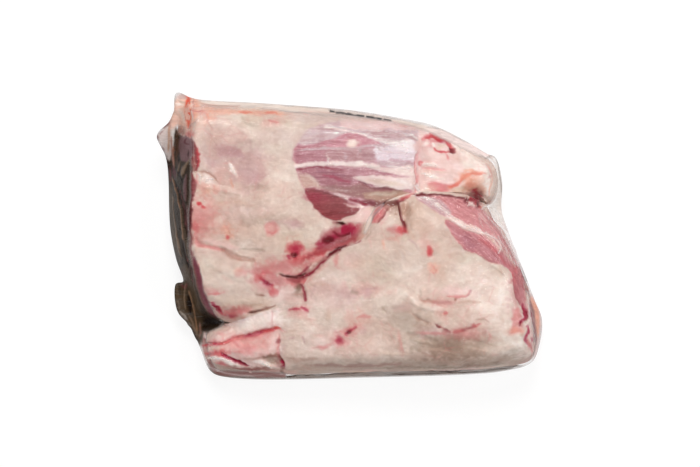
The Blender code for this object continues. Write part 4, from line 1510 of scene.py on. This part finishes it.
def film_heights(shanks):
    """The heights of the film over and under the meat, on a grid, as two functions of the plan."""
    loop = closed_curve(FLANGE_OUTLINE, 2.0)
    low, high = loop.min(axis=0) - 3, loop.max(axis=0) + 3
    xs, ys = np.arange(low[0], high[0], FILM_GRID), np.arange(low[1], high[1], FILM_GRID)
    flat = np.stack(np.meshgrid(xs, ys, indexing="ij"), axis=-1).reshape(-1, 2)
    rim = flange_height(flat)
    over, under = rim + FLANGE_THICKNESS / 2, rim - FLANGE_THICKNESS / 2
    for shank in shanks:
        held = inside_loop(flat, shank.loop)
        over[held] = np.maximum(over[held], shank.top(flat[held]) + FILM_GAP)
        under[held] = np.minimum(under[held], shank.foot(flat[held]) - FILM_GAP)
    shape = (len(xs), len(ys))
    over = close_gaps(spread(over.reshape(shape), FILM_SLOPE))
    under = -close_gaps(spread(-under.reshape(shape), FILM_SLOPE))

    def looked_up(table):
        def height(points):
            place = (points - (xs[0], ys[0])) / FILM_GRID
            cell = np.clip(np.floor(place).astype(int), 0, np.array(shape) - 2)
            part = np.clip(place - cell, 0, 1)
            i, j = cell.T
            u, v = part.T
            return (table[i, j] * (1 - u) * (1 - v) + table[i + 1, j] * u * (1 - v)
                    + table[i, j + 1] * (1 - u) * v + table[i + 1, j + 1] * u * v)

        return height

    return looked_up(over), looked_up(under)


def shifted(table, i, j):
    return np.roll(np.roll(table, i, axis=0), j, axis=1)


def spread(table, slope):
    """Lets each height run down to its neighbours no steeper than the slope, as drawn film does."""
    for _ in range(SPREAD_ROUNDS):
        for i, j in itertools.product((-1, 0, 1), repeat=2):
            fall = slope * FILM_GRID * math.hypot(i, j)
            table = np.maximum(table, shifted(table, i, j) - fall)
    return table


def close_gaps(table):
    """Bridges the narrow grooves: a rolling average that never sinks below the surface."""
    smooth = table.copy()
    for _ in range(BRIDGE_ROUNDS):
        mean = sum(shifted(smooth, i, j) for i, j in ((0, 1), (0, -1), (1, 0), (-1, 0))) / 4
        smooth = np.maximum(table, mean)
    return smooth


def make_film(over, under):
    """The film, with a finer mesh at the left, where it is gathered."""
    loop = closed_curve(FLANGE_OUTLINE, FILM_STEP)
    plain = inner_points(loop, FILM_ROWS, FILM_STEP)
    fine = inner_points(loop, (1.5,), FILM_FINE_STEP)
    inner = np.vstack([plain[plain[:, 0] > FILM_FINE_BEYOND], fine[fine[:, 0] <= FILM_FINE_BEYOND]])
    film = skin_between("film", loop, inner, over, under)
    thin_out(film, FILM_FACES)
    return film


def mark_film_rim(c):
    """The welded rim, and the strip of film that shows below the meat, with a painted shadow line where the
    meat meets the strip and a painted sheen on the film near 398,152.
    """
    edge = distance_to_loop(c.points[:, :2], closed_curve(FLANGE_OUTLINE, 2.0))
    c.lay(1 - smooth_step(edge, 0.0, 2.0), "film_grey", 1.0, 0.0, None, 0.08)
    c.lay(1 - smooth_step(edge, 0.0, 0.7), "film_strip", 1.0, 0.0, None, 0.22)
    # the bluish spot near 352,160 is the film's haze over the muscle; the one near 398,152 is a painted sheen
    c.draw("""
    spot bluish 352,160 64,44 1 edge=.4 cover=.07
    spot bluish 398,152 24,14 .8 cover=.34
    spot pink_pale 478,232 46,26 1 turn=-42 edge=.5 cover=.05""")
    c.face = c.over * (1 - smooth_step(c.points[:, 2], 28.0, 38.0))
    c.draw("""
    stroke cream_light 196,101 212,104 240,106 262,107 296,110 8 .95 soft=4 cover=.97
    stroke cream 280,108.6 320,112 350,115.4 380,120.4 405,125.4 436,131 8 .95 soft=4 cover=.97
    stroke rosy_cream 426,128 446,136 462,144 478,151 492,158 8.4 .9 soft=4 cover=.95
    stroke orange 206,109.4 226,110.6 246,110.4 270,112 3.4 .5 soft=3.4
    stroke orange_red 232,110.4 244,110.2 254,111 3 .45 soft=3
    stroke orange_red 264,112 280,113 2.2 .35 soft=2.4
    stroke pink 300,111 340,115 372,119 396,124 424,128.6 2.4 .4 soft=3""")
    c.face = c.over * c.low
    strip = (
        (212, 373), (240, 377), (283, 378.4), (315, 377.6), (350, 376.2), (380, 374), (400, 373.4),
        (430, 372.8), (452, 373.6), (480, 370.6), (505, 367.6), (518, 366)
    )
    c.stroke("film_strip", strip, 6.4, 0.95, soft=1.6, cover=0.97)
    outer = (
        (216, 375.4), (245, 378.2), (280, 379.8), (330, 378.8), (350, 378), (390, 375.8), (430, 374.4),
        (452, 374.6), (490, 370.4), (518, 366.6), (531, 361)
    )
    c.stroke("film_line", outer, 1.2, 0.7, soft=1.2, cover=0.92)
    # painted shadow: the dark line where the meat meets the strip of film
    meat_line = (
        (262, 375.4), (285, 375.8), (310, 374.6), (340, 373.1), (365, 371.6), (380, 370.2), (420, 369.7),
        (452, 370.7), (470, 368.6), (500, 365.8), (516, 364.6)
    )
    c.stroke("film_brown", meat_line, 2.0, 0.95, soft=1.6, cover=0.96)
    c.face = c.over * smooth_step(c.normals[:, 2], 0.1, 0.3)
    corner = ((203.4, 346), (203.6, 334), (206, 328.6), (211, 325.4), (219, 323.4))
    c.stroke("pink_pale", corner, 5.0, 0.97, soft=2.4, cover=0.93, taper=False)
    # painted shade: the brown along the lower left edge of the meat
    inner = ((203.4, 340), (206, 352), (209, 361), (213, 368.4), (222, 372.6), (250, 374.2), (284, 375.4))
    c.stroke("shank_brown", inner, 5.0, 0.9, soft=3, cover=0.9, taper=False)
    c.stroke("pink", inner[:3], 4.6, 0.8, soft=3, cover=0.92)
    c.draw("""
    stroke red 201.6,345.2 206,345 212,344.4 2.6 .9 soft=1.6 cover=.92
    stroke red 202.6,352 207,353 213,353 2.6 .7 soft=1.8 cover=.92
    stroke white 204,357.4 209,357.6 214,358.4 2.6 .7 soft=1.8 cover=.9""")
    c.face = c.over * c.low
    side = (
        (198, 336), (201, 350), (204, 358), (207, 365.6), (211, 371), (218, 374.4), (245, 376.8),
        (284, 378.4)
    )
    c.stroke("film_shade", side, 3.4, 0.95, soft=1.8, cover=0.9, taper=False)
    c.draw("""
    stroke film_line 198,340 200.4,350 203.2,358 206,366 210,371.8 217,375.4 1.8 .9 soft=1.4 cover=.92
        taper=0""")
    c.face = c.over
    cut_edge = ((193.6, 258), (197.6, 275), (200.8, 290), (205, 302), (210.6, 312.6), (218, 320))
    c.stroke("wine", cut_edge, 6.6, 0.9, soft=2.2, cover=0.9)


def mark_film_left(c):
    """The gathered film that runs down over the cut end, in dark folds and pale strands. Its dark is painted
    shade of the hollow under the film, over dark cut meat, and the black near 212,320 is a painted shadow in
    the gap between the shanks.
    """
    c.draw("""
    patch film_dark 173,126 181,136 190,160 190,195 187,235 191,265 199,292 208,312 222,322 204,332
        190,320 178,284 166,240 162,200 166,160 170,140 .97 4 cover=.93
    patch grey_pink 157,136 163,129 171,122 172,140 170,160 167,158 .95 2 cover=.6
    stroke film_stain 157,136.5 163,129.4 170.6,122.6 1.6 .9 soft=1.2 cover=.85 taper=0
    stroke film_stain 157,136.5 162,148 167,160 170,172 170.4,182 1.7 .9 soft=1.2 cover=.85 taper=0
    stroke film_black 164,153 167,160 169.6,170 1.4 .7 soft=1 cover=.85
    stroke pink_pale 161,143 164,149 168,154 1.8 .7 cover=.6
    stroke film_tan 170,124 169.4,140 167.4,152 2.2 .8 cover=.75
    stroke film_stain 171,119 171.2,127 2 .8 cover=.8
    stroke film_white 174.5,116 174,128 172.4,142 171,152 3.6 .9 cover=.75 rise=.5
    stroke brown 172,136 171.6,150 172.6,164 2.2 .85 cover=.8
    stroke orange 173.6,146 173,158 173.8,168 1.8 .55 cover=.75 rise=.4
    stroke film_brown 177.4,133 177,150 178.4,166 4.6 .85 cover=.8
    stroke film_black 179.4,150 179.8,160 180,166 3.2 .75 cover=.85
    spot brown 181.6,131 3.4,3.6 .8 turn=35 cover=.7
    patch film_mauve 180,139 184,136 190,139 192,150 190,160 182,161 179,150 .9 2.4 cover=.85
    stroke maroon 186,138 184,141.6 188.4,144 1.4 .7 cover=.75
    stroke maroon 191,136 192.6,148 193,157 1.7 .75 cover=.75
    stroke film_black 188,150 188.6,158 2 .6 cover=.75
    stroke film_pale 190,160 186.4,164 183.6,170 182.6,177 2.6 .85 cover=.75 rise=.5
    stroke film_pale 181,162 179,169 176.4,177 1.6 .75 cover=.75 rise=.4
    stroke maroon 172.6,166 174,173 175,179 3.6 .9 cover=.85
    stroke film_black 177,171 180.4,176 185,187 2.6 .8 cover=.85
    stroke film_mauve 186.4,174 185.4,190 186,202 3.4 .8 cover=.75 rise=.4
    stroke film_mauve 187.6,205 187.6,222 188.6,240 2 .85 cover=.75 rise=.4
    stroke film_tan 172,178 175.6,188 179,203 181.4,220 184,238 187.4,258 1.4 .75 soft=1.4 cover=.9
        rise=.5
    stroke film_black 175,181 181,196 184.6,214 186.6,238 2.8 .9 cover=.92 rise=-.4
    stroke film_line 181,205 183,222 185.4,238 188,256 1.8 .75 cover=.8 rise=.3
    stroke film_dark 176,192 176.8,206 178,224 181,240 3.4 .9 cover=.92
    stroke film_pale 172.6,196 173.4,214 176.4,232 180.6,250 1.4 .8 soft=1.2 cover=.92 rise=.3
    stroke film_olive 171,186 170.6,206 173,228 178,250 3.6 .8 cover=.92
    stroke film_line 168.6,184 168.2,204 170.4,224 175,244 180,262 1.4 .9 soft=1 cover=.92 taper=0
    stroke film_pale 176,232 178.4,246 181.6,258 1.6 .7 cover=.8 rise=.4
    stroke film_black 184,240 186.4,256 188.6,268 2.4 .7 cover=.8 rise=-.4
    stroke film_pale 190,236 190.6,252 193,266 197,284 203,302 208,312 1.8 .55 cover=.7 rise=.4
    stroke film_line 183,262 184.4,268 186,276 1.4 .7 cover=.8
    spot film_stain 185,272 4,4 .8 cover=.8
    stroke film_brown 190,264 193,282 196,300 198,320 200,334 3.2 .85 cover=.85
    stroke film_black 190.6,268 192.4,284 194.8,296 1.8 .7 cover=.85 rise=-.4
    stroke film_pale 193,285 196.4,298 199,308 203,312 2.6 .7 cover=.75 rise=.4
    patch film_dark 198,326 199,311 204,308 211,317 222,322 210,325 201,330 .95 2 cover=.9
    patch film_black 205,322 207,317.6 212,317.6 218,320 223,321.6 221,323.4 210,323.6 .97 1.6 cover=.95""")


def mark_film_crumple(c):
    """The loose flap at the bottom left, crushed and stained."""
    c.draw("""
    patch film_olive 182,266 188,268 196,290 203,318 202,340 198,346 190,330 174,312 173,282 184,281
        180,276 .95 3 cover=.9
    stroke film_stain 181,285 185,288 187,284 3 .8 cover=.9
    stroke film_black 187.6,296 190,306 191,313 4.4 .85 cover=.92 rise=-.6
    stroke film_pale 185.6,285 184.4,297 186,309 1.5 .8 cover=.9 rise=.7
    stroke film_dark 179,286 180,296 3 .6 cover=.9
    stroke film_grey 177,301 179.6,306 178,310 1.6 .6 cover=.85 rise=.5
    spot film_line 179.6,304 3,4 .7 cover=.85
    stroke film_tan 189,291 193,304 196.6,320 198,332 1.3 .75 cover=.9 rise=.6
    stroke film_grey 180.4,311 186,317 189.6,326 194.6,335 197,341 1.8 .75 cover=.85 rise=.5
    stroke film_pale 189,314 194,324 198,336 2.2 .65 cover=.85 rise=.4
    stroke film_black 191,327 194.6,334 198,342 1.3 .8 cover=.9
    stroke brown 200.6,322 200.6,332 199,338 2 .8 cover=.85""")


def mark_film_corner(c):
    """The bunched corner at the top left, stained with juice, with a painted highlight."""
    # painted highlight: the white stroke near 179,105
    c.draw("""
    patch peach 171,128 172,108 176,97 184,94 196,97 202,106 198,118 188,126 178,126 .9 6 cover=.82
    stroke orange 192,98 196,104 194,114 192,122 5 .6 soft=5 cover=.75
    patch mauve 176.6,95 184,94 190,96 188,98.6 178,99 .7 1.6 cover=.6
    stroke olive_grey 177,100 182,102.6 186,103 2.4 .5 cover=.6
    stroke white 174,105.6 179,104.8 183.4,106 2.6 .9 cover=.85 rise=.5
    stroke orange_red 187.4,98 188,108 187.4,114 188,122 187.6,128 5.4 .95 soft=3 cover=.9 rise=-.4
    stroke tan 173,111 176,113 180,117 3 .7 cover=.65 rise=-.4
    stroke film_tan 172.6,110 172.4,117 1.8 .6 cover=.7
    stroke cream_light 179,110 182,114 184,122 5 .75 soft=3 cover=.8
    stroke white 185.6,109 186,112.6 1.2 .9 cover=.8
    stroke white 190.6,109 192,114 192,121 1.4 .8 cover=.65 rise=.4
    stroke pink_red 193,99 193,108 193,118 1.4 .5 cover=.45
    stroke pink_red 190,109.4 198,111 206,109 1.8 .55 cover=.45
    stroke pink_pale 192,107 198,108 206,105 2 .6 cover=.45 rise=.4
    spot pink_red 203.6,113.4 4,3.6 .55 cover=.4
    stroke pink 205,116 209,122 213,128 1.6 .5 cover=.35
    stroke orange 200,103 220,106 240,106 2 .35 cover=.35
    stroke orange_red 187.6,97 188.2,105 188,118 4 1 soft=2 cover=.95 taper=0""")


def mark_film_right(c):
    """The webs of film at the right, drawn from the heel down past the muscle."""
    c.draw("""
    patch white 491,158 500,168 504,205 508,226 498,222 489,208 496,190 497,172 .95 3 cover=.5
    patch cream_light 496,166 501,176 503,206 499,212 496,196 498,180 .6 3 cover=.55
    stroke film_shade 486,158 495,156 500,176 503,208 514,240 527,282 1.3 .8 soft=1.2 cover=.7 taper=0
    stroke film_white 481,210 488,205 498,214 507,232 2.2 .85 cover=.75 rise=.5
    stroke film_white 483,212 496,226 509,246 519,268 1.4 .8 cover=.7 rise=.4
    stroke film_white 491,214 504,232 515,254 1.2 .7 cover=.65 rise=.4
    stroke pink_pale 503,222 512,242 3 .5 soft=3 cover=.2
    stroke film_white 478,213 481,224 483,232 1.1 .6 cover=.55
    stroke film_white 482,232 496,240 501,248 498,254 1.6 .85 cover=.8 rise=.3
    stroke film_white 498,236 508,252 516,266 1 .7 cover=.7
    stroke film_white 527,290 530,315 535,345 1.4 .7 cover=.6 rise=.4
    stroke pink_pale 530,292 536,306 539,320 539,334 537,350 533,360 3.4 .9 soft=2.4 cover=.8
    stroke orange 532,298 535.4,308 537.4,322 537.8,336 4.6 .9 soft=2.4 cover=.93
    stroke cut_red 530.6,300 533.4,314 535,328 536.4,344 1.6 .8 soft=1.6 cover=.85
    spot pink_pale 470.4,204.2 3.2,1.5 .9 edge=.5 cover=.7 turn=30""")


def mark_film_folds(c):
    """Fine folds in the film where it is drawn over the hollows, and painted highlights: white glints on the
    film.
    """
    # painted light: the cream and rosy strokes lay the fat's lit colour over the shade in the gap between the
    # shanks
    c.draw("""
    stroke cream 364,232 369.5,221 373,214 4.4 .97 soft=3.6 cover=.8
    stroke rosy 373,216 378,209 383,204.6 3.6 .97 soft=3 cover=.85
    stroke film_white 297,150 340,147 396,147 1.2 .5 cover=.3 rise=.2
    stroke film_white 326,125 352,131 374,138 404,146 1.4 .6 cover=.4 rise=.3
    stroke film_white 418,160 417,176 413,192 1.4 .5 cover=.35 rise=.3
    stroke film_white 416,190 418,184 420,192 1.8 .7 cover=.6
    stroke film_white 273,305 273,322 276,340 1.2 .4 cover=.25 rise=.3
    stroke film_white 250,316 275,311 300,303 1.4 .4 cover=.3""")
    # painted highlights: white glints on the film over the sinews and ridges
    glints = (
        ((421, 197), (428, 198), (436, 201)), ((432, 203), (438, 207), (442, 211)),
        ((446, 213), (452, 216.4), (459, 221)), ((462, 223.6), (470, 227.4), (477, 230)),
        ((485, 231), (489, 235), (492, 239)), ((497, 239), (500, 244), (502, 249)),
        ((404, 134), (412, 136), (418, 140)), ((386, 166), (398, 168), (410, 168.6)),
        ((423, 173.6), (430, 175.6), (437, 178)), ((424, 164), (432, 164.6), (437, 166)),
        ((327.6, 157), (328.4, 161), (328, 165)), ((360, 149), (361, 152)),
        ((206, 181), (210, 178), (214, 179)), ((199, 174), (201, 177), (200, 181)),
        ((414, 185), (417, 188), (419, 192)), ((212, 357.6), (222, 359), (230, 362)),
        ((262, 363), (267, 364.6), (272, 366.6)),
    )
    c.stroke("white", ((230, 166), (233, 170), (236, 175)), 2.4, 0.7, soft=2.6, cover=0.4, rise=0.2)
    c.face = c.over * smooth_step(c.normals[:, 2], 0.35, 0.6)
    for glint in glints:
        c.stroke("white", glint, 1.8, 0.8, soft=1.4, cover=0.55, rise=0.2)
    c.face = c.over


DASH_FALL = 0.16
DASHES = (  # x, y, length
    (330, 110.8, 4), (337, 112, 7), (347, 113.6, 6), (356, 115, 8), (367, 116.8, 7), (377, 118.6, 4),
    (384, 119.6, 6),
)


def mark_film_dashes(c):
    """A row of plain dark dashes along the top edge, where packs carry their dates."""
    for x, y, length in DASHES:
        dash = ((x, y), (x + length, y + length * DASH_FALL))
        c.stroke("ink", dash, 2.4, 0.95, soft=1.2, cover=0.93, taper=False)


def paint_film(c):
    """Lays all marks of the film over a bare cover that can hardly be seen."""
    c.cover += FILM_BARE_COVER
    for mark in (mark_film_rim, mark_film_left, mark_film_crumple, mark_film_corner, mark_film_right,
                 mark_film_folds, mark_film_dashes):
        mark(c)


def main():
    upper_form = Shank(UPPER_FREE, UPPER_SPINE, UPPER_CUT, UPPER_BUMPS, upper_on_top, 1)
    lower_form = Shank(LOWER_FREE, LOWER_SPINE, LOWER_CUT, LOWER_BUMPS, lambda p: 1 - upper_on_top(p), -1)

    film_top, film_foot = film_heights((upper_form, lower_form))

    upper = make_shank("upper_shank", upper_form)
    fill_groove(upper, film_top)
    canvas = Canvas(upper, "fat", 1.0)
    for mark in (mark_upper_fat, mark_upper_edges, mark_upper_blood, mark_upper_muscle, mark_upper_ankle,
                 mark_upper_cut, mark_seam, mark_upper_under):
        mark(canvas)
    canvas.finish(UPPER_FIBRES)

    lower = make_shank("lower_shank", lower_form)
    fill_groove(lower, film_top)
    canvas = Canvas(lower, "fat", 1.0)
    for mark in (mark_lower_fat, mark_lower_ankle, mark_lower_spots, mark_lower_muscle, mark_lower_edges,
                 mark_seam, mark_lower_under):
        mark(canvas)
    canvas.finish(LOWER_FIBRES)

    film = make_film(film_top, film_foot)
    shade_smooth(film)
    canvas = Canvas(film, "film_white", 0.0)
    over_flange = canvas.points[:, 2] - flange_height(canvas.points[:, :2])
    upper_skin = smooth_step(over_flange, *FILM_UPPER_SKIN)
    canvas.over = np.maximum(upper_skin, 1 - smooth_step(canvas.points[:, 0], *FILM_WHOLE_BEYOND))
    canvas.low = 1 - smooth_step(over_flange, *FILM_LOW_REACH)
    canvas.face = canvas.over
    paint_film(canvas)
    canvas.finish()

    meat = meat_material("meat")
    for piece, material in ((upper, meat), (lower, meat), (film, film_material("film"))):
        piece.data.materials.append(material)
        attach(piece, "root")
        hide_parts("vacuum_pack")


def add_stage():
    h = FLOOR_HALF
    floor = new_object("floor", [(-h, -h, 0), (h, -h, 0), (h, h, 0), (-h, h, 0)], [(0, 1, 2, 3)])
    floor.data.materials.append(floor_material("floor"))


def add_light(name, place, target, size, power, tint=(1.0, 1.0, 1.0)):
    """A round area light that looks at a target; places are in metres."""
    data = bpy.data.lights.new(name, "AREA")
    data.shape = "DISK"
    data.size = size
    data.energy = power
    data.color = tint
    light = bpy.data.objects.new(name, data)
    light.location = place
    light.rotation_euler = (Vector(target) - Vector(place)).to_track_quat("-Z", "Y").to_euler()
    bpy.context.scene.collection.objects.link(light)


def add_lights():
    middle = (0, 0, 0.02)
    add_light("key", (-0.05, 0.6, 0.85), middle, 0.5, 6.4, (1.0, 0.985, 0.97))
    add_light("right", (0.65, 0.1, 0.8), middle, 0.5, 3.0)
    add_light("front", (-0.25, -0.6, 0.9), middle, 0.6, 2.8)
    world = bpy.data.worlds.new("studio")
    world.use_nodes = True
    world.node_tree.nodes["Background"].inputs[0].default_value = (0.96, 0.97, 1.0, 1)
    world.node_tree.nodes["Background"].inputs[1].default_value = 0.2
    bpy.context.scene.world = world


def add_camera():
    data = bpy.data.cameras.new("camera")
    data.lens = LENS
    data.sensor_width = SENSOR
    camera = bpy.data.objects.new("camera", data)
    camera.location = (CAMERA_OVER[0] * MM, CAMERA_OVER[1] * MM, (CAMERA_AWAY + PIXEL_PLANE) * MM)
    bpy.context.scene.collection.objects.link(camera)
    bpy.context.scene.camera = camera


main()
add_stage()
add_lights()
add_camera()
bpy.context.scene.view_settings.view_transform = "Standard"
